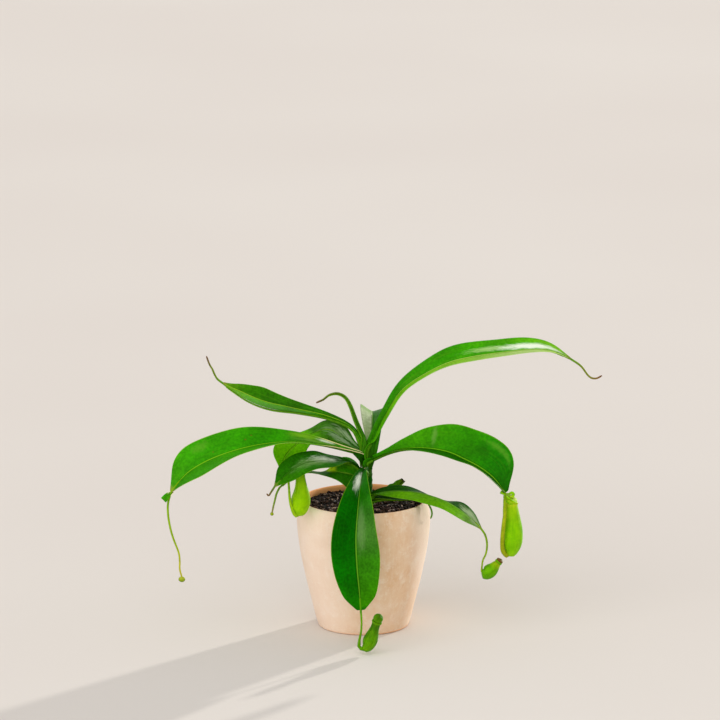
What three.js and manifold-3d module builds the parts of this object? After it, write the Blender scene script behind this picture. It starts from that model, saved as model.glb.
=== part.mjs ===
// A young tropical pitcher plant in a terracotta pot.
// Millimetres, +Z up. The origin is the middle of the pot's flat base, the front is -Y and the right is +X.

import * as THREE from 'three';
import { mergeVertices } from 'three/addons/utils/BufferGeometryUtils.js';
import Module from 'manifold-3d';

const wasm = await Module();
wasm.setup();

// ---- Driving dimensions ----

const GAP = 0.3; // clearance between pieces that touch on the real plant

// Pot: the outside as [radius, height], from the foot to the crest of the lip
const POT_OUTSIDE = [
  [42, 0], [46, 3], [51.3, 24], [56.8, 45], [61.2, 66], [64.6, 86], [66.6, 106], [66.2, 115], [64.4, 124],
];
const POT_CREST = [62, 129];
const POT_WALL = 5.5;
const POT_FLOOR = 9;
const POT_SIDES = 44;
const POT_PROFILE_STEPS = 26; // even steps up the wall, from which the inside takes its points
const POT_HEEL = 5; // radius of the bend between the wall and the floor inside
const LIP_SHOULDER = 2.2; // how far under the crest the lip starts to turn over
const LIP_WIDTH = 2.8;

// Potting soil
const SOIL_LEVEL = 123.5;
const SOIL_RINGS = 9;
const SOIL_SIDES = 36;
const SOIL_RELIEF = 1.6; // height of the lumps above and below the level
const SOIL_EDGE = 1.2; // how far the top's edge keeps from the wall
const SOIL_CLEARANCE = 0.6; // from the wall, at the corners of the flat facets

// Stem
const STEM_AXIS = { x: 4, y: 0 };
const STEM_FOOT = 98; // where the buried end stops
const STEM_TOP = 184;
const STEM_RADIUS_FOOT = 5.2;
const STEM_RADIUS_TOP = 4.2;
const STEM_HOLE_CLEARANCE = 0.4;
const STEM_SIDES = 12;
const STEM_BEVEL = 1; // rounding of the buried foot and of the top

// Leaves
const BLADE_THICKNESS = 0.8;
const MIDRIB_DEPTH = 0.9; // how far the midrib stands out under the blade
const BLADE_STATIONS = 17;
const BLADE_COLUMNS = [0.34, 0.68, 1]; // places across each half, as parts of the half width
const TENDRIL_RADIUS = 1.05;
const TENDRIL_SIDES = 6;
const TENDRIL_STEP = 7; // length of one tube segment
const TENDRIL_ROOT = 7; // how far the tendril runs back inside the blade

// Pitchers
const PITCHER_SIDES = 12;
const RIM_TUBE = 1.1; // radius of the rolled rim
const LID_OVERHANG = 0.6;
const LID_SIDES = 14;
const WING_THICKNESS = 0.8;
const WING_HEIGHT = 1.1; // how far a wing stands out from the cup
const WING_ROOT = 1.2; // how deep a wing is sunk into the cup
const WING_SPREAD = 28; // degrees from the very front to a wing

const UP = new THREE.Vector3(0, 0, 1);

const COLOURS = {
  terracotta: 0xe4c4a0,
  soil: 0x241a14,
  stem: 0x3a6b12,
  leaf: 0x1f7a08,
  pitcher: 0x86b812,
};

// ---- Leaves: midrib and tendril as points from the stem outwards, half widths, roll and fold ----
// halfWidths, roll and the folds are given at equal steps from the stem to the tip. A positive roll lowers
// the right half (seen along the leaf from the stem). A fold lifts a half out of the flat, in degrees, and
// bow curves it further towards its edge.

const LEAVES = [
  {
    name: 'leaf_upper_right',
    midrib: [[8, -1, 188], [20.5, 2, 212], [37, 6, 237], [56, 10, 250.5], [84, 14, 264], [112, 17, 270],
      [137, 19, 273], [165, 20, 276], [187, 20, 275], [206, 20, 267]],
    tendril: [[216, 20, 260], [223, 19, 251], [227, 18, 248], [232, 17, 248], [237, 16, 251]],
    halfWidths: [6, 5.8, 8.4, 14.4, 19, 19, 17.5, 12, 1.4],
    roll: [62, 50, 30, 20, 18, 18, 18, 18, 18],
    foldLeft: [36, 24, 18, 18, 30],
    foldRight: [34, 28, 24, 22, 30],
    bow: 4,
  },
  {
    name: 'leaf_upper_left',
    midrib: [[-2, 1, 183], [-11, 3, 200], [-34, 5, 210], [-64, 8, 215], [-92, 10, 218], [-113, 12, 225],
      [-130, 13, 236], [-140, 13, 244]],
    tendril: [[-145, 13, 248], [-148, 13, 253], [-150, 13, 258], [-153, 14, 263], [-156, 15, 271]],
    halfWidths: [3, 2.9, 5, 8, 12, 18, 20, 14, 1.6],
    roll: [-7, -7],
    foldLeft: [50, 43, 43, 43, 43],
    foldRight: [50, 43, 43, 43, 43],
    bow: 4,
  },
  {
    name: 'leaf_big_left',
    midrib: [[-2, -4, 175], [-18, -14, 182], [-43, -28, 191], [-72, -42, 197], [-110, -54, 195],
      [-145, -62, 186], [-169, -66, 174], [-181, -68, 163], [-189, -69, 153]],
    tendril: [[-192, -70, 142], [-192, -70, 130], [-190, -70, 117], [-187, -70, 106], [-182, -70, 92],
      [-181, -70, 83], [-181, -70, 75], [-179, -71, 67]],
    bud: { at: [-179, -71, 65], radii: [3.4, 2.6, 2.8] },
    flap: {
      midrib: [[-187, -69, 153.5], [-192, -70, 150], [-196.5, -70.5, 145]],
      halfWidths: [1.2, 3, 3.6],
      roll: [-60, -60],
      foldLeft: [10, 10],
      foldRight: [10, 10],
      bow: 0,
    },
    halfWidths: [3.6, 4.6, 8, 13, 19, 24, 26, 23, 2],
    roll: [-31, -31],
    foldLeft: [50, 44, 40, 26, 20],
    foldRight: [50, 30, 22, 18, 18],
    bow: 4,
  },
  {
    name: 'leaf_broad_right',
    midrib: [[9, -3, 170], [23, -6, 177], [40, -9, 182], [62, -13, 183], [83, -17, 180], [97, -19, 174],
      [113, -22, 166], [128, -26, 155.6], [140.5, -31.5, 142.4]],
    tendril: [[139.6, -34.5, 135.8], [140, -35, 123.5], [138.5, -34.5, 108.3], [137.4, -33, 94],
      [136.6, -31.5, 84]],
    halfWidths: [3.6, 5, 12, 22, 29, 33, 35, 30, 4],
    roll: [35, 35],
    foldLeft: [50, 40, 38, 36, 30],
    foldRight: [50, 40, 40, 47, 46],
    bow: 4,
  },
  {
    name: 'leaf_front',
    midrib: [[4, -4.5, 157], [1.5, -22, 163.5], [-1, -42, 163], [-3.5, -64, 152], [-5.6, -81, 134],
      [-7.3, -92, 111], [-6.2, -100, 84], [-4.2, -104, 63], [-2.7, -106, 43]],
    tendril: [[-2, -108, 32], [-2.5, -110, 22], [-4, -112, 15], [-4.6, -114, 9]],
    halfWidths: [3.6, 4, 4.6, 6.4, 9.8, 12.8, 16.4, 20, 23, 24.6, 25.3, 25.3, 24.4, 22.6, 19.6, 15, 3.8],
    roll: [16, 12, 0, 0, 0],
    foldLeft: [50, 46, 42, 16, 10],
    foldRight: [50, 44, 32, 12, 10],
    bow: -6,
  },
  {
    name: 'leaf_dark_left',
    midrib: [[-1, -3, 157], [-10, -8, 166], [-20, -17, 171.5], [-31, -33, 175], [-44, -48, 179],
      [-60, -60, 179], [-75, -68, 171], [-87, -73, 160]],
    tendril: [[-91, -75, 154], [-93, -75, 151], [-95, -75, 153]],
    halfWidths: [2.2, 3, 6, 11, 15, 15.5, 14.5, 12, 1.4],
    roll: [-15, -15, -15, -20, -25],
    foldLeft: [40, 20, 10, 10, 10],
    foldRight: [40, 20, 10, 10, 10],
    bow: 0,
  },
  {
    name: 'leaf_lower_left',
    midrib: [[-1, -5, 147], [-12, -17, 158], [-25, -27, 163], [-39, -31, 163], [-55, -33, 165],
      [-69, -36, 161], [-83, -39, 150]],
    tendril: [[-86, -40, 144], [-87.5, -41, 138], [-89, -42, 132], [-90, -42, 127], [-90.5, -42, 125]],
    bud: { at: [-90.5, -42, 124], radii: [1.8, 1.6, 1.8] },
    halfWidths: [4, 18, 20.5, 12.5, 8, 8, 8, 5, 1.4],
    roll: [-50, -48, -42, -32, -6, 0, 0, 0, 0],
    foldLeft: [10, -20, -10, 0, 0],
    foldRight: [20, 5, -5, 0, 0],
    bow: 0,
  },
  {
    name: 'leaf_back_left',
    midrib: [[0, 3, 175], [-14, 5, 185], [-26, 6, 194.5], [-37, 5, 199], [-51, 1, 195], [-65, -5, 187],
      [-77, -13, 176], [-82, -22, 165]],
    tendril: [[-77.5, -35, 162.5], [-74.5, -47, 160], [-73.5, -51, 153.5], [-73, -53, 145.5],
      [-72.5, -56, 138.5], [-71.5, -56.5, 131]],
    halfWidths: [2.6, 5, 11, 14, 12, 10, 14, 15, 2],
    roll: [-30, -42, -30, -55, -65],
    foldLeft: [20, -18, -20, 0, 5],
    foldRight: [30, 10, 0, 0, 5],
    bow: 0,
  },
  {
    name: 'leaf_lower_right',
    midrib: [[8, -4, 134], [21, -12, 139], [40, -22, 142], [59, -32, 142], [80, -40, 137],
      [95, -45, 129], [107, -48, 120], [116, -50, 111]],
    tendril: [[120, -51, 105], [122, -51, 96], [121, -51, 86], [118, -51, 79], [117, -51, 72]],
    halfWidths: [3.4, 8, 11, 14, 16, 16, 15, 10, 1.4],
    roll: [24, 24, 18, 12, 20],
    foldLeft: [20, 8, -4, -26, -38, -34, -4, 4, 15],
    foldRight: [20, 0, 2, 0, 0],
    bow: 0,
  },
  {
    name: 'leaf_back_right',
    midrib: [[8, 3, 130], [19, 9, 132], [29, 14, 134], [36, 17, 138], [41, 19, 142.5]],
    tendril: [],
    halfWidths: [3, 5, 6, 5, 2.6],
    roll: [10, 10],
    foldLeft: [30, 20],
    foldRight: [30, 20],
    bow: 0,
  },
  {
    name: 'leaf_low_small',
    midrib: [[8, -3, 127], [18, -10, 131], [33, -15, 132], [48, -19, 133]],
    tendril: [[60, -21, 133], [66, -22, 126], [68, -22, 119], [66.5, -22, 114]],
    halfWidths: [3, 6, 8, 6, 1.4],
    roll: [10, 10],
    foldLeft: [30, 5],
    foldRight: [30, 5],
    bow: 0,
  },
  {
    name: 'leaf_back',
    midrib: [[6, 5, 176], [8, 12, 188], [8.5, 24, 199], [9, 42, 204.5], [9, 66, 202], [9, 94, 195],
      [9, 124, 185]],
    tendril: [[9, 136, 181]],
    halfWidths: [3.4, 8, 12, 14.4, 14.6, 14, 12, 8, 1.4],
    roll: [0, 18, 20],
    foldLeft: [40, 30, 26, 18, 15],
    foldRight: [40, 28, 28, 22, 18],
    bow: 0,
  },
  {
    name: 'leaf_young',
    midrib: [[-1, 0, 191.5], [-8, 0, 207], [-13.6, 0, 223], [-18.6, -1, 232], [-26, -2, 236],
      [-34, -3, 235], [-40, -4, 231]],
    tendril: [[-47, -5, 228]],
    halfWidths: [3.4, 3.6, 3.3, 2.8, 2.2, 1],
    roll: [0, 0],
    foldLeft: [65, 65],
    foldRight: [65, 65],
    bow: 0,
  },
];

// ---- Pitchers: axis from the bottom up to the mouth, radii at equal steps, the way the mouth faces ----

const PITCHERS = [
  {
    name: 'pitcher_right',
    axis: [[141.8, -27, 77.5], [145.6, -25.5, 82], [148, -24.5, 92], [148.3, -24, 103],
      [147.3, -24, 115], [145.8, -24.5, 126], [145.3, -25, 134]],
    radii: [4.4, 8, 9.7, 9.8, 9.5, 8.6, 7.9, 7.3, 6.9],
    mouth: { facing: [0.52, -0.3, 0.8], radius: 6.9 },
    lid: { lift: 1.6, halfHeight: 2.2 },
    front: [-1, -0.3, 0],
  },
  {
    name: 'pitcher_left',
    axis: [[-66, -52, 124], [-63.3, -51, 129.5], [-62, -50, 137], [-61, -50, 145.5], [-61.2, -50, 154],
      [-62, -50, 163], [-62.8, -50, 170]],
    radii: [2.4, 7, 9, 9.2, 7.9, 6.1, 5, 4.6, 4.7],
    mouth: { facing: [0.3, -0.2, 0.9], radius: 4.8 },
    lid: { lift: 2.2, halfHeight: 1.9 },
    front: [-1, -0.2, 0],
  },
  {
    name: 'pitcher_front',
    axis: [[-1, -114.5, 4.6], [3.8, -113, 8.5], [6.8, -112.5, 15], [10, -112, 24], [13, -112, 33]],
    radii: [2.8, 5.9, 7.2, 6, 4.4, 4.3],
    mouth: { facing: [0.3, -0.3, 0.9], radius: 4.3 },
    lid: { lift: 3.6, halfHeight: 3.4 },
    front: [-0.6, -1, 0],
  },
  {
    name: 'pitcher_small',
    axis: [[116.5, -50, 65], [121.5, -50, 65.5], [127, -50, 69.5], [131, -50, 74], [133.5, -50, 77]],
    radii: [4.2, 6.6, 6.8, 5, 3.2],
    mouth: { facing: [0.7, 0, 0.8], radius: 3 },
    lid: { lift: 1.8, halfHeight: 1.9 },
    front: [-0.6, -1, 0.5],
  },
];

// ---- Solids ----

function toSolid(geometry) {
  const bare = geometry.clone();
  bare.deleteAttribute('normal');
  bare.deleteAttribute('uv');
  const merged = mergeVertices(bare);
  return new wasm.Manifold(new wasm.Mesh({
    numProp: 3,
    vertProperties: new Float32Array(merged.attributes.position.array),
    triVerts: new Uint32Array(merged.index.array),
  }));
}

function toGeometry(solid) {
  const { vertProperties, triVerts } = solid.getMesh();
  const geometry = new THREE.BufferGeometry();
  geometry.setAttribute('position', new THREE.BufferAttribute(vertProperties, 3));
  geometry.setIndex(new THREE.BufferAttribute(triVerts, 1));
  geometry.computeVertexNormals();
  return geometry;
}

function biggestPiece(solid) {
  const pieces = solid.decompose();
  pieces.sort((a, b) => b.volume() - a.volume());
  return pieces[0];
}

function joined(solids) {
  return solids.reduce((whole, solid) => whole.add(solid));
}

const vector = ([x, y, z]) => new THREE.Vector3(x, y, z);

// A value from a list given at equal steps, read smoothly at t from 0 to 1.
function valueAt(list, t) {
  const place = t * (list.length - 1);
  const i = Math.min(Math.floor(place), list.length - 2);
  const u = place - i;
  const before = list[Math.max(i - 1, 0)];
  const after = list[Math.min(i + 2, list.length - 1)];
  const slopeStart = (list[i + 1] - before) / 2;
  const slopeEnd = (after - list[i]) / 2;
  const ease = u * u * (3 - 2 * u);
  const bend = u * (1 - u) * (slopeStart * (1 - u) - slopeEnd * u);
  return list[i] + (list[i + 1] - list[i]) * ease + bend;
}

function smoothCurve(points) {
  return new THREE.CatmullRomCurve3(points.map(vector), false, 'catmullrom', 0.5);
}

// Stations along a curve, each with its point, its direction and a side that turns as little as it can.
function stationsAlong(curve, count, firstSide) {
  const stations = [];
  let side = firstSide ? firstSide.clone() : curve.getTangentAt(0).cross(UP);
  for (let i = 0; i < count; i += 1) {
    const t = i / (count - 1);
    const along = curve.getTangentAt(t);
    side = side.clone().addScaledVector(along, -side.dot(along)).normalize();
    stations.push({ t, point: curve.getPointAt(t), along, side });
  }
  return stations;
}

// A closed solid through rings of the same number of points, each ring running the same way round.
function ringSolid(rings) {
  const sides = rings[0].length;
  const positions = rings.flat().flatMap((p) => [p.x, p.y, p.z]);
  const triangles = [];
  for (let i = 0; i < rings.length - 1; i += 1) {
    for (let j = 0; j < sides; j += 1) {
      const a = i * sides + j;
      const b = i * sides + ((j + 1) % sides);
      triangles.push(a, b, b + sides, a, b + sides, a + sides);
    }
  }
  const last = (rings.length - 1) * sides;
  for (let j = 1; j < sides - 1; j += 1) {
    triangles.push(0, j + 1, j, last, last + j, last + j + 1);
  }
  const geometry = new THREE.BufferGeometry();
  geometry.setAttribute('position', new THREE.Float32BufferAttribute(positions, 3));
  geometry.setIndex(triangles);
  return toSolid(geometry);
}

// Points of one half of a blade's section, from the midrib to the edge, each with its upward normal.
// The half leaves the midrib at the fold angle and turns by the bow angle on its way to the edge.
function halfSection(halfWidth, foldDegrees, bowDegrees) {
  const fold = THREE.MathUtils.degToRad(foldDegrees);
  const bow = THREE.MathUtils.degToRad(bowDegrees || 0.01);
  return BLADE_COLUMNS.map((u) => {
    const angle = fold + bow * u;
    return {
      out: (halfWidth / bow) * (Math.sin(angle) - Math.sin(fold)),
      up: (halfWidth / bow) * (Math.cos(fold) - Math.cos(angle)),
      angle,
    };
  });
}

// A thin blade on a midrib, flat triangles alike on both faces, closed all round.
function bladeSolid(curve, shape, firstSide) {
  const rows = stationsAlong(curve, BLADE_STATIONS, firstSide).map((station) => {
    const roll = THREE.MathUtils.degToRad(valueAt(shape.roll, station.t));
    const right = station.side.clone().applyAxisAngle(station.along, roll);
    const up = right.clone().cross(station.along);
    const halfWidth = valueAt(shape.halfWidths, station.t);
    const row = [];
    const place = (out, rise, angle, handed, depth) => {
      const outwards = right.clone().multiplyScalar(handed);
      const middle = station.point.clone().addScaledVector(outwards, out).addScaledVector(up, rise);
      const normal = up.clone().multiplyScalar(Math.cos(angle)).addScaledVector(outwards, -Math.sin(angle));
      row.push({
        top: middle.clone().addScaledVector(normal, BLADE_THICKNESS / 2),
        under: middle.clone().addScaledVector(normal, -BLADE_THICKNESS / 2 - depth),
      });
    };
    halfSection(halfWidth, valueAt(shape.foldLeft, station.t), shape.bow)
      .reverse()
      .forEach((p) => place(p.out, p.up, p.angle, -1, 0));
    place(0, 0, 0, 1, MIDRIB_DEPTH);
    halfSection(halfWidth, valueAt(shape.foldRight, station.t), shape.bow)
      .forEach((p) => place(p.out, p.up, p.angle, 1, 0));
    return row;
  });
  // Each ring runs over the top from left to right and back underneath.
  const rings = rows.map((row) => [...row.map((p) => p.top), ...row.map((p) => p.under).reverse()]);
  return ringedBlade(rings);
}

// Like ringSolid, but the caps follow the blade's columns, so a folded end is closed cleanly.
function ringedBlade(rings) {
  const sides = rings[0].length;
  const columns = sides / 2;
  const positions = rings.flat().flatMap((p) => [p.x, p.y, p.z]);
  const triangles = [];
  for (let i = 0; i < rings.length - 1; i += 1) {
    for (let j = 0; j < sides; j += 1) {
      const a = i * sides + j;
      const b = i * sides + ((j + 1) % sides);
      const isUnder = j >= columns && j < sides - 1;
      if (isUnder) {
        triangles.push(a, b, a + sides, b, b + sides, a + sides);
      } else {
        triangles.push(a, b, b + sides, a, b + sides, a + sides);
      }
    }
  }
  const last = (rings.length - 1) * sides;
  for (let j = 0; j < columns - 1; j += 1) {
    const under = sides - 1 - j;
    triangles.push(j, under, j + 1, j + 1, under, under - 1);
    triangles.push(last + j, last + j + 1, last + under, last + j + 1, last + under - 1, last + under);
  }
  const geometry = new THREE.BufferGeometry();
  geometry.setAttribute('position', new THREE.Float32BufferAttribute(positions, 3));
  geometry.setIndex(triangles);
  return toSolid(geometry);
}

// A round tube along a curve.
function tubeSolid(points, radius, sides, step) {
  const curve = smoothCurve(points);
  const section = new THREE.Shape();
  for (let i = 0; i < sides; i += 1) {
    const angle = (2 * Math.PI * i) / sides;
    const x = radius * Math.cos(angle);
    const y = radius * Math.sin(angle);
    if (i === 0) section.moveTo(x, y);
    else section.lineTo(x, y);
  }
  section.closePath();
  const steps = Math.max(3, Math.round(curve.getLength() / step));
  return toSolid(new THREE.ExtrudeGeometry(section, { steps, bevelEnabled: false, extrudePath: curve }));
}

function ellipsoidSolid(at, radii, widthSegments = 8, heightSegments = 6) {
  const geometry = new THREE.SphereGeometry(1, widthSegments, heightSegments);
  geometry.scale(...radii);
  geometry.translate(...at);
  return toSolid(geometry);
}

// A solid turned about the upright axis from a profile of [radius, height].
function turnedSolid(profile, sides) {
  const geometry = new THREE.LatheGeometry(profile.map(([r, z]) => new THREE.Vector2(r, z)), sides);
  geometry.rotateX(Math.PI / 2);
  return toSolid(geometry);
}

// ---- Pot ----

// Every few steps of the pot's wall between two heights, moved inwards by inset.
function potWall(inset, fromHeight, toHeight, every) {
  const curve = new THREE.SplineCurve([...POT_OUTSIDE, POT_CREST].map(([r, z]) => new THREE.Vector2(r, z)));
  return curve.getSpacedPoints(POT_PROFILE_STEPS)
    .filter((p) => p.y > fromHeight && p.y < toHeight)
    .filter((p, i) => i % every === 0)
    .map((p) => [p.x - inset, p.y]);
}

function potSolid() {
  const [crestRadius, crestHeight] = POT_CREST;
  const shoulderHeight = crestHeight - LIP_SHOULDER;
  const lip = [
    [(POT_OUTSIDE.at(-1)[0] + crestRadius) / 2 + 0.4, shoulderHeight],
    POT_CREST,
    [crestRadius - LIP_WIDTH * 0.7, crestHeight - 0.4],
    [crestRadius - LIP_WIDTH, shoulderHeight - 0.4],
  ];
  const inside = potWall(POT_WALL, POT_FLOOR + POT_HEEL, crestHeight - 6, 3).reverse();
  const floorRadius = inside.at(-1)[0] - POT_HEEL;
  const profile = [[0, 0], ...POT_OUTSIDE, ...lip, ...inside, [floorRadius, POT_FLOOR], [0, POT_FLOOR]];
  return turnedSolid(profile, POT_SIDES);
}

// ---- Soil ----

// Height of the lumps on the soil at a place.
function soilRelief(x, y) {
  return SOIL_RELIEF * (
    0.5 * Math.sin(x / 5.1 + 1.3) * Math.cos(y / 4.3)
    + 0.3 * Math.sin((x + y) / 3.1)
    + 0.2 * Math.cos((x - 2 * y) / 2.7)
  );
}

function soilSolid() {
  const wall = potWall(POT_WALL + SOIL_CLEARANCE, POT_FLOOR + POT_HEEL + 1, SOIL_LEVEL - 5, 4);
  const bottom = POT_FLOOR + GAP;
  const bottomRadius = wall[0][0] - POT_HEEL - 1;
  const edge = wall.at(-1)[0] - SOIL_EDGE;
  const top = [];
  for (let i = 0; i <= SOIL_RINGS; i += 1) {
    top.push(new THREE.Vector2(edge * (1 - i / SOIL_RINGS), SOIL_LEVEL));
  }
  const sides = [[0, bottom], [bottomRadius, bottom], ...wall].map(([r, z]) => new THREE.Vector2(r, z));
  const geometry = new THREE.LatheGeometry([...sides, ...top], SOIL_SIDES);
  geometry.rotateX(Math.PI / 2);
  const position = geometry.attributes.position;
  for (let i = 0; i < position.count; i += 1) {
    const isTop = Math.abs(position.getZ(i) - SOIL_LEVEL) < 0.01;
    if (isTop) {
      position.setZ(i, SOIL_LEVEL + soilRelief(position.getX(i), position.getY(i)));
    }
  }
  return toSolid(geometry).subtract(stemSolid(STEM_HOLE_CLEARANCE));
}

// ---- Stem ----

// The stem, fattened by a clearance for the hole that it stands in and for the leaves that clasp it.
function stemSolid(clearance = 0) {
  const footRadius = STEM_RADIUS_FOOT + clearance;
  const topRadius = STEM_RADIUS_TOP + clearance;
  const foot = STEM_FOOT - clearance;
  const top = STEM_TOP + clearance;
  const profile = [
    [0, foot],
    [footRadius - STEM_BEVEL, foot],
    [footRadius, foot + STEM_BEVEL],
    [footRadius, SOIL_LEVEL + 6],
    [(footRadius + topRadius) / 2, (SOIL_LEVEL + STEM_TOP) / 2],
    [topRadius, top - 4 * STEM_BEVEL],
    [topRadius - STEM_BEVEL, top - STEM_BEVEL],
    [0, top],
  ];
  return turnedSolid(profile, STEM_SIDES).translate([STEM_AXIS.x, STEM_AXIS.y, 0]);
}

// ---- One leaf: blade, midrib and tendril in one piece ----

function leafSolid(leaf) {
  const curve = smoothCurve(leaf.midrib);
  const parts = [bladeSolid(curve, leaf)];
  if (leaf.tendril.length > 0) {
    const root = curve.getPointAt(1 - TENDRIL_ROOT / curve.getLength());
    const path = [root.toArray(), leaf.midrib.at(-1), ...leaf.tendril];
    parts.push(tubeSolid(path, TENDRIL_RADIUS, TENDRIL_SIDES, TENDRIL_STEP));
  }
  if (leaf.flap) {
    parts.push(bladeSolid(smoothCurve(leaf.flap.midrib), leaf.flap));
  }
  if (leaf.bud) {
    parts.push(ellipsoidSolid(leaf.bud.at, leaf.bud.radii));
  }
  return biggestPiece(joined(parts).subtract(stemSolid(GAP)));
}

// ---- One pitcher: cup, rolled rim, shut lid and two wings in one piece ----

function turnedTowards(geometry, facing, at) {
  const turn = new THREE.Quaternion().setFromUnitVectors(UP, vector(facing).normalize());
  geometry.applyQuaternion(turn);
  geometry.translate(at.x, at.y, at.z);
  return geometry;
}

function pitcherSolid(pitcher) {
  const { axis, radii, front, mouth, lid } = pitcher;
  const curve = smoothCurve(axis);
  const stations = stationsAlong(curve, radii.length, vector(front));
  const rings = stations.map((station, i) => {
    const ring = [];
    for (let j = 0; j < PITCHER_SIDES; j += 1) {
      const arm = station.side.clone().applyAxisAngle(station.along, (2 * Math.PI * j) / PITCHER_SIDES);
      ring.push(station.point.clone().addScaledVector(arm, radii[i]));
    }
    return ring;
  });
  const mouthAt = curve.getPointAt(1);
  const lidAt = mouthAt.clone().addScaledVector(vector(mouth.facing).normalize(), lid.lift);
  const rim = new THREE.TorusGeometry(mouth.radius - 0.4, RIM_TUBE, 6, LID_SIDES);
  const dome = new THREE.SphereGeometry(1, LID_SIDES, 6);
  dome.rotateX(Math.PI / 2);
  dome.scale(mouth.radius + LID_OVERHANG, mouth.radius + LID_OVERHANG, lid.halfHeight);
  return biggestPiece(joined([
    ringSolid(rings),
    toSolid(turnedTowards(rim, mouth.facing, mouthAt)),
    toSolid(turnedTowards(dome, mouth.facing, lidAt)),
    wingSolid(stations, radii, -WING_SPREAD),
    wingSolid(stations, radii, WING_SPREAD),
  ]));
}

// A fin standing out from the cup, down its front, at an angle from the very front.
function wingSolid(stations, radii, spread) {
  const rows = stations.slice(1, -1).map((station, i) => {
    const arm = station.side.clone().applyAxisAngle(station.along, THREE.MathUtils.degToRad(spread));
    const across = arm.clone().cross(station.along).setLength(WING_THICKNESS / 2);
    const inner = station.point.clone().addScaledVector(arm, radii[i + 1] - WING_ROOT);
    const outer = station.point.clone().addScaledVector(arm, radii[i + 1] + WING_HEIGHT);
    return [
      inner.clone().add(across),
      outer.clone().add(across),
      outer.clone().sub(across),
      inner.clone().sub(across),
    ];
  });
  return ringSolid(rows);
}

// ---- Object ----

const plant = new THREE.Group();

function addPart(name, solid, colour, roughness) {
  const material = new THREE.MeshStandardMaterial({ color: colour, roughness, metalness: 0 });
  const mesh = new THREE.Mesh(toGeometry(solid), material);
  mesh.name = name;
  plant.add(mesh);
}

addPart('pot', potSolid(), COLOURS.terracotta, 0.8);
addPart('soil', soilSolid(), COLOURS.soil, 0.95);
addPart('stem', stemSolid(), COLOURS.stem, 0.5);
for (const leaf of LEAVES) {
  addPart(leaf.name, leafSolid(leaf), COLOURS.leaf, 0.35);
}
for (const pitcher of PITCHERS) {
  addPart(pitcher.name, pitcherSolid(pitcher), COLOURS.pitcher, 0.35);
}

export default plant;
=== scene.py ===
"""A young pitcher plant in a terracotta pot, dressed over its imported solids.

Metres, +Z up, the front is -Y. The plant's own numbers are in millimetres and degrees.
"""

import math
import random

import bmesh
import bpy
from mathutils import Matrix, Vector


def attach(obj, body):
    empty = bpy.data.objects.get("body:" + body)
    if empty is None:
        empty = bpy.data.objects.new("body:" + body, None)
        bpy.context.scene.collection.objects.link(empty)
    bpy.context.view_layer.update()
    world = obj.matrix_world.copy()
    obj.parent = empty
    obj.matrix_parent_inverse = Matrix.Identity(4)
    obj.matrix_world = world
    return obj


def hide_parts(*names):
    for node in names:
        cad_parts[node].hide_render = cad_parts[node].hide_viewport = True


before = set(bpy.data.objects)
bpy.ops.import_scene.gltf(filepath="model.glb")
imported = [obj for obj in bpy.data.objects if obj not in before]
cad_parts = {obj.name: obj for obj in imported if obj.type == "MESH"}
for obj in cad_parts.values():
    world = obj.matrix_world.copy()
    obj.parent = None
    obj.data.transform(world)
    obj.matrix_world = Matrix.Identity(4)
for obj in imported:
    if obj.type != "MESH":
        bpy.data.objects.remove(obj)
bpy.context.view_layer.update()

MM = 0.001
UP = Vector((0, 0, 1))
dice = random.Random(11)

# A leaf's grid: rows along the blade, rows of the sheath before it, rows of a flap, columns across
ROWS = 30
SHEATH_ROWS = 6
FLAP_ROWS = 9
COLUMNS = 8
BLADE_THICKNESS = 0.8

STEM_AXIS = Vector((4, 0, 0))
SHEATH_RADIUS = 5.3
SHEATH_DEPTH = 16  # below the blade's root
SHEATH_HALF_WIDTHS = [1.2, 4.8, 6.5, 5.5]
SHEATH_BOW = 30  # degrees, where it meets the blade
ROOT_BOW = 26  # degrees, on top of the blade's own
ROOT_SHARE = 0.12  # of the blade's length


# ---- Working by hand: selecting, moving, turning ----


def put_down_everything():
    """Object mode with nothing selected."""
    if bpy.context.object and bpy.context.object.mode != "OBJECT":
        bpy.ops.object.mode_set(mode="OBJECT")
    bpy.ops.object.select_all(action="DESELECT")


def pick_up(piece):
    put_down_everything()
    piece.select_set(True)
    bpy.context.view_layer.objects.active = piece


def call_it(name):
    """Names the object in hand, and its mesh."""
    piece = bpy.context.object
    piece.name = piece.data.name = name
    return piece


def start(name, primitive, **settings):
    """Adds a primitive, selected all over and open for editing. Gives the piece and its edit mesh."""
    put_down_everything()
    primitive(**settings)
    piece = call_it(name)
    bpy.ops.object.mode_set(mode="EDIT")
    bpy.ops.mesh.select_all(action="SELECT")
    mesh = bmesh.from_edit_mesh(piece.data)
    mesh.verts.ensure_lookup_table()
    return piece, mesh


def choose(piece, mesh, wanted):
    """Selects exactly these vertices of the open piece."""
    for vertex in mesh.verts:
        vertex.select = False
    for vertex in wanted:
        vertex.select = True
    mesh.select_flush_mode()
    bmesh.update_edit_mesh(piece.data, loop_triangles=False, destructive=False)


def turn(degrees, axis, centre):
    """Right-handed turn of the selection; with no window the operator turns the other way."""
    if abs(degrees) > 1e-6:
        bpy.ops.transform.rotate(value=-math.radians(degrees), orient_axis=axis, orient_type="GLOBAL",
                                 center_override=centre)


def shift(by):
    bpy.ops.transform.translate(value=by, orient_type="GLOBAL")


def stretch(by, centre):
    bpy.ops.transform.resize(value=by, orient_type="GLOBAL", center_override=centre)


def aim(basis, centre):
    """Turns the selection about centre so that X, Y and Z come to lie along the basis."""
    for axis, angle in zip("XYZ", basis.to_euler("XYZ")):
        turn(math.degrees(angle), axis, centre)


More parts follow.
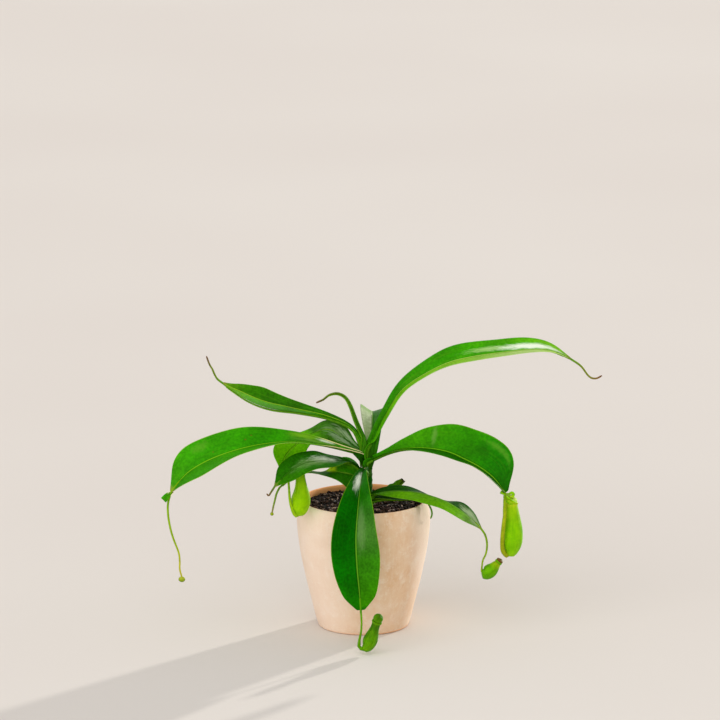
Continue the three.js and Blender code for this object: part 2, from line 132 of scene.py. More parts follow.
def draw_up(name, sides, rings, across=0):
    """A disc at the first ring, drawn up through the others. A ring is a radius and a height."""
    (radius, height), *others = rings
    piece, _ = start(name, bpy.ops.mesh.primitive_circle_add, vertices=sides, radius=radius * MM,
                     fill_type="NGON", location=(across * MM, 0, height * MM))
    for next_radius, next_height in others:
        rise = {"value": (0, 0, (next_height - height) * MM)}
        bpy.ops.mesh.extrude_region_move(TRANSFORM_OT_translate=rise)
        scale = next_radius / radius
        stretch((scale, scale, 1), (across * MM, 0, next_height * MM))
        radius, height = next_radius, next_height
    return piece


def finish_with(piece, kind, **settings):
    """Adds a modifier with these settings and applies it."""
    pick_up(piece)
    modifier = piece.modifiers.new(kind.title(), kind)
    for name, value in settings.items():
        setattr(modifier, name, value)
    bpy.ops.object.modifier_apply(modifier=modifier.name)


def smooth_over(piece):
    pick_up(piece)
    bpy.ops.object.shade_smooth()


def close_up(piece):
    """Merges doubles and points every face outwards."""
    pick_up(piece)
    bpy.ops.object.mode_set(mode="EDIT")
    bpy.ops.mesh.select_all(action="SELECT")
    bpy.ops.mesh.remove_doubles(threshold=0.00001)
    bpy.ops.mesh.normals_make_consistent(inside=False)
    bpy.ops.object.mode_set(mode="OBJECT")


def dress(piece, *materials):
    for material in materials:
        piece.data.materials.append(material)


def join(name, pieces):
    """One piece out of several; the first keeps its place in the list of materials."""
    put_down_everything()
    for piece in pieces:
        piece.select_set(True)
    bpy.context.view_layer.objects.active = pieces[0]
    bpy.ops.object.join()
    return call_it(name)


def hand_over(piece, node):
    """The piece, with its place in its mesh, rides on the one body and stands for its CAD node."""
    pick_up(piece)
    bpy.ops.object.transform_apply(location=True, rotation=True, scale=True)
    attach(piece, "root")
    if node:
        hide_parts(node)


# ---- Curves ----

CURVE_STEPS = 400
CURVE_REACH = 0.002  # how far to either side a curve's direction is read


def place_in(values, t):
    """The step of an evenly spaced list that t from 0 to 1 falls in, and the share of it passed."""
    last = len(values) - 1
    place = min(max(t, 0), 1) * last
    step = min(int(place), last - 1)
    return step, place - step


def on_curve(points, t):
    """Smooth curve through points, read at t from 0 to 1."""
    i, u = place_in(points, t)
    here, there = points[i], points[i + 1]
    before = points[i - 1] if i > 0 else here * 2 - there
    after = points[i + 2] if i + 2 < len(points) else there * 2 - here
    start, end = (there - before) * 0.5, (after - here) * 0.5
    ease = u * u * (3 - 2 * u)
    return here + (there - here) * ease + (start * (1 - u) - end * u) * (u * (1 - u))


def read_list(values, t):
    """A value from a list given at equal steps, read smoothly at t from 0 to 1."""
    i, u = place_in(values, t)
    start = (values[i + 1] - values[max(i - 1, 0)]) / 2
    end = (values[min(i + 2, len(values) - 1)] - values[i]) / 2
    ease = u * u * (3 - 2 * u)
    return values[i] + (values[i + 1] - values[i]) * ease + (start * (1 - u) - end * u) * u * (1 - u)


def direction(points, place, reach):
    """Which way the curve runs at this place."""
    return (on_curve(points, min(place + reach, 1)) - on_curve(points, max(place - reach, 0))).normalized()


def stations_along(points, count, first_side=None):
    """Evenly spaced (t, point, direction, side) along the curve; the side turns as little as it can."""
    points = [Vector(p) for p in points]
    fine = [on_curve(points, i / CURVE_STEPS) for i in range(CURVE_STEPS + 1)]
    lengths = [0.0]
    for a, b in zip(fine, fine[1:]):
        lengths.append(lengths[-1] + (b - a).length)
    stations = []
    side = first_side
    j = 0
    for i in range(count):
        t = i / (count - 1)
        want = t * lengths[-1]
        while j < CURVE_STEPS - 1 and lengths[j + 1] < want:
            j += 1
        part = (want - lengths[j]) / (lengths[j + 1] - lengths[j])
        along = direction(points, (j + part) / CURVE_STEPS, CURVE_REACH)
        if side is None:
            side = along.cross(UP)
        side = (side - along * side.dot(along)).normalized()
        stations.append((t, fine[j].lerp(fine[j + 1], part), along, side))
    return stations


# ---- Finishes ----


def tint(red, green, blue):
    """A screen colour, 0 to 255, as the linear colour that a shader takes."""
    def linear(value):
        value /= 255
        return value / 12.92 if value <= 0.04045 else ((value + 0.055) / 1.055) ** 2.4
    return (linear(red), linear(green), linear(blue), 1.0)


def patch(across, along, wide, long, colour, strength, ragged=0.8, streaked=False):
    """A patch on a leaf: its place on the map, half its size in mm, its colour, strength and raggedness."""
    return dict(at=(across, along), size=(wide, long), colour=colour, strength=strength,
                ragged=ragged, streaked=streaked)


def streak(*settings):
    """A patch that is drawn out along the veins."""
    return patch(*settings, streaked=True)


class Finish:
    """A material under construction, with short words for the nodes that it needs.
    Colours are screen colours, and a ramp's stop is its place from 0 to 1 before its colour."""

    def __init__(self, name, **shader_settings):
        self.material = bpy.data.materials.new(name)
        self.material.use_nodes = True
        self.tree = self.material.node_tree
        self.shader = self.tree.nodes["Principled BSDF"]
        for setting, value in shader_settings.items():
            self.shader.inputs[setting.replace("_", " ")].default_value = value

    def add(self, kind, inputs=None, **settings):
        node = self.tree.nodes.new(kind)
        for name, value in settings.items():
            setattr(node, name, value)
        for key, value in (inputs or {}).items():
            self.feed(node.inputs[key], value)
        return node

    def feed(self, socket, value):
        if isinstance(value, bpy.types.NodeSocket):
            self.tree.links.new(value, socket)
        else:
            socket.default_value = value

    def place(self):
        """The surface's own coordinates in the plant's frame, in metres."""
        return self.add("ShaderNodeTexCoord").outputs["Object"]

    def stretched(self, where, x, y, z):
        return self.add("ShaderNodeMapping", {"Vector": where, "Scale": (x, y, z)}).outputs[0]

    def split(self, where):
        return self.add("ShaderNodeSeparateXYZ", {0: where}).outputs

    def across_and_along(self):
        """The two numbers of the piece's own UV map."""
        return self.split(self.add("ShaderNodeUVMap", uv_map="UVMap").outputs[0])[:2]

    def across_and_blade(self):
        """As above, but the second number runs from 0 where the blade leaves its sheath."""
        across, along = self.across_and_along()
        whole = ROWS + SHEATH_ROWS
        return across, self.sum("DIVIDE", self.sum("SUBTRACT", along, SHEATH_ROWS / whole), ROWS / whole)

    def sum(self, operation, a, b=0.0):
        return self.add("ShaderNodeMath", {0: a, 1: b}, operation=operation).outputs[0]

    def times(self, a, b):
        return self.sum("MULTIPLY", a, b)

    def from_middle(self, across):
        return self.sum("ABSOLUTE", self.sum("SUBTRACT", across, 0.5))

    def noise(self, where, scale, detail=3.0, roughness=0.55):
        sockets = {"Vector": where, "Scale": scale, "Detail": detail, "Roughness": roughness}
        return self.add("ShaderNodeTexNoise", sockets).outputs[0]

    def lengthwise(self, across, along, fine, coarse, detail, roughness=0.5):
        """A noise drawn out along the map's second number."""
        where = self.add("ShaderNodeCombineXYZ", {0: self.times(across, fine), 1: self.times(along, coarse)})
        return self.noise(where.outputs[0], 1.0, detail, roughness)

    def step(self, value, low, high, to_low=0.0, to_high=1.0):
        """to_low below low, to_high above high, and a soft step between them."""
        sockets = {"Value": value, "From Min": low, "From Max": high, "To Min": to_low, "To Max": to_high}
        return self.add("ShaderNodeMapRange", sockets, interpolation_type="SMOOTHSTEP").outputs[0]

    def blend(self, amount, a, b, how="MIX"):
        node = self.add("ShaderNodeMix", data_type="RGBA", blend_type=how, clamp_factor=True)
        for socket, value in ((0, amount), (6, a), (7, b)):
            self.feed(node.inputs[socket], tint(*value) if isinstance(value, tuple) else value)
        return node.outputs[2]

    def ramp(self, value, stops):
        """Colours at places from 0 to 1, blended smoothly."""
        node = self.add("ShaderNodeValToRGB", {0: value})
        node.color_ramp.interpolation = "EASE"
        while len(node.color_ramp.elements) < len(stops):
            node.color_ramp.elements.new(0.5)
        for element, (place, *colour) in zip(node.color_ramp.elements, stops):
            element.position = place
            element.color = tint(*colour)
        return node.outputs[0]

    def veil(self, skin, pattern, low, high, most, colour):
        """A colour over the skin, from nothing where the pattern is low to its most where it is high."""
        return self.blend(self.step(pattern, low, high, 0.0, most), skin, colour)

    def mottle(self, skin, pattern, amount, dark, pale):
        """Soft darker and paler patches; both greys are screen values."""
        greys = self.ramp(pattern, [(0.3, dark, dark, dark), (0.7, pale, pale, pale)])
        return self.blend(amount, skin, greys, "SOFT_LIGHT")

    def bump(self, height, distance, strength=1.0):
        """Stacks a bump on what the shader's normal already has."""
        node = self.add("ShaderNodeBump", {"Height": height, "Distance": distance, "Strength": strength})
        below = self.shader.inputs["Normal"]
        if below.is_linked:
            self.tree.links.new(below.links[0].from_socket, node.inputs["Normal"])
        self.tree.links.new(node.outputs[0], below)

    def colour(self, value):
        self.feed(self.shader.inputs["Base Color"], value)

    def roughness(self, pattern, smooth, rough):
        self.feed(self.shader.inputs["Roughness"], self.step(pattern, 0.3, 0.7, smooth, rough))


def terracotta_finish(name, body, bloom, side):
    """Unglazed clay: fine grain, cloudy paler bloom and faint throwing rings.
    Its flanks and foot are painted paler as light; side is the colour painted on the flanks.
    """
    f = Finish(name, Specular_IOR_Level=0.15)
    at = f.place()
    sides, _, height = f.split(at)
    blotches = f.noise(at, 75, 5, 0.7)
    runs = f.noise(f.stretched(at, 260, 260, 22), 1.0)
    grain = f.noise(at, 900, 2, 0.6)
    skin = f.ramp(f.noise(at, 28, 4, 0.6), body)
    skin = f.veil(skin, blotches, 0.5, 0.68, 0.5, bloom)
    skin = f.veil(skin, runs, 0.5, 0.7, 0.2, bloom)
    skin = f.veil(skin, f.noise(at, 240, 4, 0.65), 0.56, 0.68, 0.35, bloom)
    # painted light: the foot is painted paler against its contact shade,
    # and both flanks are painted paler where light falls on them
    skin = f.veil(skin, height, 0.003, 0.001, 0.7, (255, 196, 144))
    skin = f.veil(skin, sides, 0.03, -0.05, 0.6, side)
    skin = f.veil(skin, sides, 0.04, 0.062, 0.7, side)
    skin = f.veil(skin, f.noise(at, 19, 3, 0.5), 0.56, 0.78, 0.3, (203, 158, 117))
    skin = f.veil(skin, grain, 0.62, 0.8, 0.25, (178, 130, 92))
    f.colour(skin)
    f.roughness(blotches, 0.72, 0.9)
    rings = f.add("ShaderNodeTexWave", {"Vector": at, "Scale": 90.0, "Distortion": 1.5, "Detail": 2.0},
                  wave_type="BANDS", bands_direction="Z").outputs["Fac"]
    f.bump(rings, 0.00002)
    f.bump(blotches, 0.0004, 0.6)
    f.bump(grain, 0.00015, 0.7)
    return f.material


def soil_finish(name, stops, scale, moist=0.2):
    """Moist peat: dark and crumbly; the moister it is, the more it glints."""
    f = Finish(name, Specular_IOR_Level=moist)
    at = f.place()
    lumps = f.noise(at, scale, 5, 0.7)
    f.colour(f.ramp(lumps, stops))
    f.roughness(lumps, 0.75 - 0.5 * moist, 0.95 - 0.4 * moist)
    f.bump(f.noise(at, 700, 4, 0.7), 0.0006)
    return f.material


LEAF_GLOSS = (0.6, 1.0, 0.25, 1.0)

# What a leaf's look has unless it says otherwise. Places along are shares of the blade, and the
# margin's and the midrib's widths are shares of the width.
LEAF_LOOK = dict(
    gloss=0.1, veins=0.22, marks=(), under=[(0, 84, 140, 30), (1, 84, 150, 20)],
    rib_width=0.022, rib_from=0.12, rib_shade=0.15, rib_strength=0.8,
    edge=(132, 176, 20), edge_strength=0.6, edge_root=0.475, edge_from=0.12, edge_and_highlight_stops=None,
    tip=(150, 150, 60), tip_from=0.965)


def leaf_finish(name, look, length, width):
    """The upper face of one leaf. The map runs across the blade (0 at its left edge) and along it."""
    look = {**LEAF_LOOK, **look}
    f = Finish(name, Specular_IOR_Level=look["gloss"], Specular_Tint=LEAF_GLOSS)
    at = f.place()
    across, along = f.across_and_blade()
    out = f.from_middle(across)
    # each half's colours along it, partly painted light and shade
    skin = f.blend(f.step(across, 0.47, 0.53), f.ramp(along, look["left"]), f.ramp(along, look["right"]))
    # broad cloudy patches, freckles and the fine lengthwise veins
    clouds = f.noise(at, 45, 3, 0.5)
    skin = f.mottle(skin, clouds, 0.6, 150, 222)
    skin = f.mottle(skin, f.noise(at, 420, 3, 0.6), 0.5, 140, 228)
    lines = f.lengthwise(across, along, width * 900, length * 22, 2)
    skin = f.veil(skin, lines, 0.45, 0.75, look["veins"], look["pale"])
    streaks = f.lengthwise(across, along, width * 900, length * 120, 4, 0.6)
    # marks: real spots and patches, and also painted highlights, sheen and light shining through
    for mark in look["marks"]:
        ways = zip((across, along), mark["at"], (width, length), mark["size"])
        u, v = (f.times(f.sum("SUBTRACT", place, middle), full / MM / half)
                for place, middle, full, half in ways)
        far = f.sum("SQRT", f.sum("ADD", f.times(u, u), f.times(v, v)))
        grain = streaks if mark["streaked"] else f.noise(at, 250)
        ragged = f.sum("ADD", far, f.times(f.sum("SUBTRACT", grain, 0.5), mark["ragged"]))
        skin = f.veil(skin, ragged, 1.0, 0.2, mark["strength"], mark["colour"])
    # midrib, with painted shade in the groove beside it; margin, with a painted highlight where a leaf gives
    # it stops; and tip
    rib = look["rib_width"]
    past_root = f.step(along, look["rib_from"], look["rib_from"] + 0.14)
    shade = f.step(out, rib * 2.6, rib * 1.2, 0.0, look["rib_shade"])
    skin = f.blend(f.times(past_root, shade), skin, look["deep"])
    line = f.step(out, rib * 1.15, rib * 0.5, 0.0, look["rib_strength"])
    skin = f.blend(f.times(past_root, line), skin, look["rib"])
    begins = f.step(along, 0.05, 0.4, look["edge_root"], 0.475)
    margin = f.step(out, begins, f.sum("ADD", begins, 0.02), 0.0, look["edge_strength"])
    past_root = f.step(along, look["edge_from"], look["edge_from"] + 0.14)
    edge = f.ramp(along, look["edge_and_highlight_stops"]) if look["edge_and_highlight_stops"] else look["edge"]
    skin = f.blend(f.times(past_root, margin), skin, edge)
    f.colour(f.veil(skin, along, look["tip_from"], 1.0, 1.0, look["tip"]))
    f.roughness(f.noise(at, 120), 0.36, 0.52)
    f.bump(lines, 0.00035, 0.5)
    f.bump(f.step(out, rib * 0.4, rib * 2.2), 0.0009, 0.9)
    f.bump(clouds, 0.0025, 0.5)
    return f.material


def underside_finish(name, look, length, width):
    """The matt, paler under face of one leaf."""
    f = Finish(name, Specular_IOR_Level=0.12, Specular_Tint=LEAF_GLOSS)
    across, along = f.across_and_blade()
    lines = f.lengthwise(across, along, width * 1400, length * 15, 2)
    skin = f.ramp(along, look.get("under", LEAF_LOOK["under"]))
    skin = f.veil(skin, lines, 0.4, 0.7, 0.4, (120, 184, 20))
    skin = f.mottle(skin, f.noise(f.place(), 60), 0.4, 150, 215)
    f.colour(f.veil(skin, f.from_middle(across), 0.03, 0.012, 1.0, (140, 180, 70)))
    f.roughness(lines, 0.5, 0.65)
    f.bump(lines, 0.0003, 0.6)
    return f.material


def tendril_finish(name, stops):
    """A tendril from its leaf outwards: the map's second number runs along it."""
    f = Finish(name, Specular_IOR_Level=0.15, Specular_Tint=LEAF_GLOSS)
    at = f.place()
    _, along = f.across_and_along()
    f.colour(f.mottle(f.ramp(along, stops), f.noise(at, 260), 0.5, 140, 225))
    f.roughness(f.noise(at, 500, 2), 0.4, 0.6)
    f.bump(f.noise(at, 900, 2), 0.0003, 0.6)
    return f.material


PITCHER_LOOK = dict(veins=0.4, streaks=0.2, streak=(176, 206, 30), specks=0.2)


def pitcher_finish(name, look):
    """A pitcher's skin: yellow-green with darker lengthwise veins. The map runs round it and up it."""
    look = {**PITCHER_LOOK, **look}
    f = Finish(name, Specular_IOR_Level=0.18, Specular_Tint=LEAF_GLOSS)
    at = f.place()
    around, up = f.across_and_along()
    veins = f.lengthwise(around, up, 34, 3, 2)
    skin = f.mottle(f.ramp(up, look["skin"]), f.noise(at, 110), 0.6, 135, 222)
    skin = f.veil(skin, veins, 0.5, 0.72, look["veins"], look["vein"])
    skin = f.veil(skin, f.lengthwise(around, up, 60, 5, 3, 0.6), 0.54, 0.7, look["streaks"], look["streak"])
    f.colour(f.veil(skin, f.noise(at, 700, 2, 0.4), 0.66, 0.74, look["specks"], (120, 100, 20)))
    f.roughness(veins, 0.5, 0.64)
    f.bump(veins, 0.0006, 0.6)
    f.bump(f.noise(at, 300), 0.0005, 0.4)
    return f.material


def stem_finish():
    """Green bark with lengthwise fibres and dry brown spots."""
    f = Finish("stem_bark", Specular_IOR_Level=0.15, Specular_Tint=LEAF_GLOSS)
    at = f.place()
    fibres = f.noise(f.stretched(at, 900, 900, 90), 1.0)
    skin = f.ramp(fibres, [(0.3, 20, 62, 2), (0.55, 38, 96, 4), (0.75, 84, 138, 24)])
    f.colour(f.veil(skin, f.noise(at, 130, 4, 0.6), 0.58, 0.7, 0.6, (86, 62, 26)))
    f.roughness(fibres, 0.45, 0.65)
    f.bump(fibres, 0.0008, 0.8)
    return f.material


# ---- The plant's own numbers: midribs, tendrils, widths and folds, in millimetres and degrees ----
# A positive roll lowers the right half, seen along the leaf from the stem. Colours run along each half;
# besides the leaf's own greens they hold painted light and shade: a half is paler where light or a
# reflection falls on it and darker where it lies in shade, and pale streaks among the marks are
# painted highlights and sheen.


def leaf(midrib, half_widths, roll, fold_left, fold_right=None, **more):
    """One leaf or flap. Where no right fold is given, both halves fold alike."""
    usual = dict(bow=0, wave=0, foot=None, tendril=(), tendril_radii=[1.1, 1.0, 0.85], rib_radius=1.9,
                 carries=None, bud=None, flaps=(), look=None)
    return dict(usual, midrib=midrib, half_widths=half_widths, roll=roll, fold_left=fold_left,
                fold_right=fold_right or fold_left, **more)


FRESH = (118, 172, 28)
DEEP = (12, 66, 0)

LEAVES = {
    "leaf_upper_right": leaf(
        midrib=[(8, -1, 188), (20.5, 2, 212), (37, 6, 237), (56, 10, 250.5), (84, 14, 264), (112, 17, 270),
                (137, 19, 273), (165, 20, 276), (187, 20, 275), (206, 20, 267)],
        tendril=[(216, 20, 260), (223, 19, 251), (227, 18, 248), (232, 17, 248), (237, 16, 251)],
        foot=(2.5, -5.4, 166),
        flaps=[leaf(midrib=[(18, 1, 209), (13, -1, 193), (9.6, -3, 175), (7, -4.4, 160)],
                    half_widths=[1, 3.2, 3.8, 3.2, 1.2], roll=[-80, -70], fold_left=[8, 8],
                    look=dict(left=[(0, 40, 112, 2), (1, 24, 78, 0)],
                              right=[(0, 36, 104, 2), (1, 20, 72, 0)],
                              rib=(44, 112, 4), pale=(60, 128, 8), deep=DEEP, tip=(20, 70, 0),
                              edge_strength=0.2))],
        half_widths=[6, 5.8, 8.4, 14.4, 19, 19, 17.5, 12, 1.4],
        roll=[62, 50, 30, 20, 18, 18, 18, 18, 18],
        fold_left=[36, 24, 18, 18, 30], fold_right=[34, 28, 24, 22, 30], bow=4, wave=0.5,
        look=dict(
            left=[(0, 44, 118, 4), (0.2, 34, 120, 0), (0.55, 50, 148, 0), (0.8, 78, 164, 8),
                  (1, 120, 176, 40)],
            right=[(0, 60, 140, 2), (0.25, 100, 172, 10), (0.5, 132, 192, 40), (0.8, 176, 210, 110),
                   (1, 150, 196, 60)],
            rib=(168, 208, 80), pale=FRESH, deep=(30, 116, 0), tip=(150, 140, 60), edge=(196, 216, 150),
            # painted highlights: a pale and a white streak of reflected light
            marks=[streak(0.31, 0.66, 4, 34, (166, 206, 120), 0.8, 1.6),
                   streak(0.335, 0.83, 6, 44, (236, 244, 226), 1, 1.3)]),
        tendril_stops=[(0, 96, 150, 20), (0.55, 120, 130, 30), (1, 120, 78, 44)]),
    "leaf_upper_left": leaf(
        midrib=[(-2, 1, 183), (-11, 3, 200), (-34, 5, 210), (-64, 8, 215), (-92, 10, 218), (-113, 12, 225),
                (-130, 13, 236), (-140, 13, 244)],
        tendril=[(-145, 13, 248), (-148, 13, 253), (-150, 13, 258), (-153, 14, 263), (-156, 15, 271)],
        half_widths=[3, 2.9, 5, 8, 12, 18, 20, 14, 1.6],
        roll=[-7, -7], fold_left=[50, 43, 43, 43, 43], bow=4, wave=0.3,
        look=dict(
            left=[(0, 46, 126, 0), (0.45, 62, 158, 0), (0.75, 80, 178, 0), (1, 110, 180, 10)],
            right=[(0, 36, 104, 2), (0.5, 34, 100, 0), (0.85, 44, 112, 0), (1, 96, 150, 20)],
            rib=(90, 150, 20), pale=FRESH, deep=DEEP, edge=(150, 186, 40), edge_strength=0.8,
            # the underside's colours are brightened as painted light, to lift the shade it lies in
            under=[(0, 52, 150, 0), (0.45, 84, 186, 0), (0.75, 108, 214, 0), (1, 170, 204, 30)]),
        tendril_stops=[(0, 90, 150, 10), (0.5, 110, 130, 30), (1, 104, 70, 48)]),
    "leaf_big_left": leaf(
        midrib=[(-2, -4, 175), (-18, -14, 182), (-43, -28, 191), (-72, -42, 197), (-110, -54, 195),
                (-145, -62, 186), (-169, -66, 174), (-181, -68, 163), (-189, -69, 153)],
        tendril=[(-192, -70, 142), (-192, -70, 130), (-190, -70, 117), (-187, -70, 106), (-182, -70, 92),
                 (-181, -70, 83), (-181, -70, 75), (-179, -71, 67)],
        bud=((-179, -71, 65), (3.4, 2.6, 2.8)),
        half_widths=[3.6, 4.6, 8, 13, 19, 24, 26, 23, 2],
        flaps=[leaf(midrib=[(-187, -69, 153.5), (-192, -70, 150), (-196.5, -70.5, 145)],
                    half_widths=[1.2, 3, 3.6], roll=[-60, -60], fold_left=[10, 10]),
               leaf(midrib=[(-10, -10, 178), (-3, -7.4, 173.5), (1.2, -5.6, 164)],
                    half_widths=[1.2, 3.4, 3.4, 1.4], roll=[76, 76], fold_left=[-6, -6],
                    look=dict(left=[(0, 24, 84, 0), (1, 14, 60, 0)],
                              right=[(0, 24, 84, 0), (1, 14, 60, 0)],
                              rib=(40, 100, 4), pale=(50, 110, 8), deep=DEEP, tip=(14, 56, 0),
                              edge_strength=0.3))],
        roll=[-31, -31], fold_left=[50, 34, 38, 26, 20], fold_right=[50, 30, 22, 18, 18], bow=4, wave=0.8,
        rib_radius=1.1,
        look=dict(
            left=[(0, 52, 124, 4), (0.5, 58, 150, 2), (1, 44, 132, 2)],
            right=[(0, 44, 118, 4), (0.25, 70, 134, 20), (0.45, 42, 140, 0), (0.8, 48, 148, 2),
                   (1, 58, 146, 8)],
            rib=(116, 184, 20), pale=(86, 166, 10), deep=(30, 116, 0), edge_strength=0.9,
            # the cream and pale stops near the root are a painted highlight along the margin
            edge_and_highlight_stops=[(0, 255, 240, 180), (0.18, 246, 232, 160), (0.27, 120, 180, 20),
                        (0.45, 160, 196, 60)],
            edge_root=0.38, edge_from=-0.3, rib_width=0.018, rib_strength=1.0,
            marks=[patch(0.70, 0.585, 1.4, 1.6, (120, 84, 20), 0.7),
                   patch(0.78, 0.555, 1.1, 1.5, (120, 84, 20), 0.6),
                   patch(0.63, 0.74, 1.2, 1.4, (110, 96, 20), 0.5),
                   patch(0.84, 0.78, 7, 12, (104, 160, 44), 0.35, 1.4),
                   streak(0.84, 0.31, 9, 22, (118, 176, 30), 0.8, 1.2),
                   # a painted highlight on the petiole
                   streak(0.82, 0.20, 7, 13, (214, 224, 196), 0.9, 1.6),
                   streak(0.66, 0.25, 5, 34, (120, 170, 60), 0.5, 2.2)],
            under=[(0, 60, 136, 4), (0.3, 70, 146, 0), (1, 84, 150, 20)]),
        tendril_stops=[(0, 120, 168, 6), (0.5, 141, 174, 6), (1, 185, 178, 40)]),
    "leaf_broad_right": leaf(
        midrib=[(9, -3, 170), (23, -6, 177), (40, -9, 182), (62, -13, 183), (83, -17, 180), (97, -19, 174),
                (113, -22, 166), (128, -26, 155.6), (140.5, -31.5, 142.4)],
        tendril=[(139.6, -34.5, 135.8), (140, -35, 123.5), (138.5, -34.5, 108.3), (137.6, -33, 94),
                 (138.2, -31, 84), (141.2, -28.5, 78.5)],
        tendril_radii=[1.1, 1.6, 1.9, 2.1, 2.2, 2.2, 2.4], carries="pitcher_right", foot=(3, -5.3, 162),
        half_widths=[3.6, 5, 12, 22, 29, 33, 35, 30, 4],
        roll=[35, 35], fold_left=[50, 40, 38, 36, 30], fold_right=[50, 40, 40, 47, 46], bow=4, wave=0.3,
        look=dict(
            left=[(0, 46, 138, 0), (0.3, 56, 142, 0), (0.6, 40, 134, 0), (0.85, 18, 118, 0),
                  (1, 16, 108, 0)],
            right=[(0, 40, 124, 0), (0.5, 18, 100, 0), (1, 14, 94, 0)],
            rib=(104, 172, 20), pale=(84, 154, 10), deep=(16, 88, 0), rib_width=0.02,
            rib_strength=1.0, rib_shade=0.3,
            tip=(20, 92, 0),
            marks=[patch(0.22, 0.42, 20, 3.2, (116, 164, 70), 0.5, 0.8),
                   patch(0.25, 0.72, 13, 9, (20, 96, 0), 0.6, 1.2),
                   patch(0.10, 0.80, 5, 18, (96, 158, 40), 0.5, 1)]),
        tendril_stops=[(0, 110, 150, 10), (0.4, 155, 170, 20), (1, 150, 160, 20)]),
    "leaf_front": leaf(
        midrib=[(4, -4.5, 157), (1.5, -22, 163.5), (-1, -42, 163), (-3.5, -64, 152), (-5.6, -81, 134),
                (-7.3, -92, 111), (-6.2, -100, 84), (-4.2, -104, 63), (-2.7, -106, 43)],
        tendril=[(-2, -108, 32), (-2.5, -110, 22), (-4, -112, 15), (-4.6, -114, 9)],
        carries="pitcher_front", tendril_radii=[1.1, 1.0, 1.0, 1.2, 1.7],
        half_widths=[3.6, 4, 4.6, 6.4, 9.8, 12.8, 16.4, 20, 23, 24.6, 25.3, 25.3, 24.4, 22.6, 19.6, 15,
                     3.8],
        roll=[16, 12, 0, 0, 0], fold_left=[50, 46, 42, 16, 10], fold_right=[50, 44, 32, 12, 10], bow=-6,
        wave=0.5,
        look=dict(
            # the pale blue-green stop on the left half is painted gloss
            left=[(0, 14, 92, 0), (0.35, 22, 104, 0), (0.6, 60, 116, 34), (0.75, 44, 116, 8),
                  (1, 48, 124, 0)],
            right=[(0, 10, 76, 0), (0.25, 20, 88, 0), (0.45, 2, 84, 0), (0.8, 2, 94, 0), (1, 20, 112, 0)],
            rib=(98, 156, 30), pale=(40, 120, 4), deep=(4, 72, 0), rib_width=0.017,
            gloss=0.05, veins=0.15, rib_shade=0.3, tip=(16, 100, 0),
            # painted highlights: a white one near the crest and a pale gloss band further down
            marks=[streak(0.66, 0.27, 11, 19, (226, 232, 214), 0.95, 2),
                   streak(0.38, 0.56, 8, 30, (112, 148, 86), 0.5, 1.1)]),
        tendril_stops=[(0, 84, 148, 10), (0.5, 100, 156, 8), (1, 84, 142, 0)]),
    "leaf_dark_left": leaf(
        midrib=[(-1, -3, 157), (-10, -8, 166), (-20, -17, 171.5), (-31, -33, 175), (-44, -48, 179),
                (-60, -60, 179), (-75, -68, 171), (-87, -73, 160)],
        tendril=[(-91, -75, 154), (-93, -75, 151), (-95, -75, 153)],
        half_widths=[2.2, 3, 6, 11, 15, 15.5, 14.5, 12, 1.4],
        roll=[-15, -15, -15, -20, -25], fold_left=[40, 20, 10, 10, 10], wave=0.6,
        look=dict(
            left=[(0, 16, 70, 0), (0.5, 30, 100, 0), (1, 44, 112, 2)],
            right=[(0, 14, 66, 0), (0.5, 26, 90, 0), (1, 28, 96, 0)],
            rib=(60, 120, 20), pale=(62, 112, 30), deep=(10, 60, 0), gloss=0.04, rib_width=0.016,
            # the first two marks are painted grey sheen
            marks=[streak(0.57, 0.47, 8, 27, (204, 216, 192), 0.9, 2.2),
                   streak(0.46, 0.62, 9, 30, (116, 152, 84), 0.65, 2),
                   patch(0.74, 0.30, 6, 20, (12, 58, 0), 0.6, 1.2)]),
        tendril_stops=[(0, 90, 130, 30), (1, 110, 76, 50)]),
    "leaf_lower_left": leaf(
        midrib=[(-1, -5, 147), (-12, -17, 158), (-25, -27, 163), (-39, -31, 163), (-55, -33, 165),
                (-69, -36, 161), (-83, -39, 150)],
        tendril=[(-86, -40, 144), (-87.5, -41, 138), (-89, -42, 132), (-90, -42, 127), (-90.5, -42, 125)],
        bud=((-90.5, -42, 124), (1.8, 1.6, 1.8)),
        half_widths=[4, 18, 20.5, 12.5, 8, 8, 8, 5, 1.4],
        roll=[-50, -48, -42, -32, -6, 0, 0, 0, 0], fold_left=[10, -20, -10, 0, 0],
        fold_right=[20, 5, -5, 0, 0], wave=0.5,
        look=dict(
            left=[(0, 22, 84, 0), (0.4, 34, 104, 0), (1, 50, 96, 10)],
            right=[(0, 30, 106, 0), (0.2, 34, 114, 0), (0.34, 60, 146, 0), (0.6, 60, 116, 10),
                   (1, 70, 96, 20)],
            rib=(80, 130, 30), pale=(80, 136, 20), deep=(10, 56, 0), gloss=0.04,
            marks=[patch(0.75, 0.20, 8, 9, (62, 132, 0), 0.8, 1.2),
                   # the yellow patch is painted light shining through the leaf
                   patch(0.80, 0.42, 16, 8, (216, 255, 4), 1, 0.4),
                   patch(0.84, 0.41, 1.8, 1.8, (120, 70, 10), 0.9, 0.3)]),
        tendril_stops=[(0, 90, 140, 20), (0.6, 120, 150, 40), (1, 140, 130, 70)]),
    "leaf_back_left": leaf(
        midrib=[(0, 3, 175), (-14, 5, 185), (-26, 6, 194.5), (-37, 5, 199), (-51, 1, 195), (-65, -5, 187),
                (-77, -13, 176), (-82, -22, 165)],
        tendril=[(-77.5, -35, 162.5), (-74.5, -47, 160), (-73.5, -51, 153.5), (-73, -53, 145.5),
                 (-72, -55, 138.5), (-70, -55.5, 131.5), (-68, -54, 126.5)],
        half_widths=[2.6, 5, 11, 13.5, 9.5, 9.5, 14, 15, 2], carries="pitcher_left",
        tendril_radii=[1.1, 1.1, 1.1, 1.2, 1.4, 1.8],
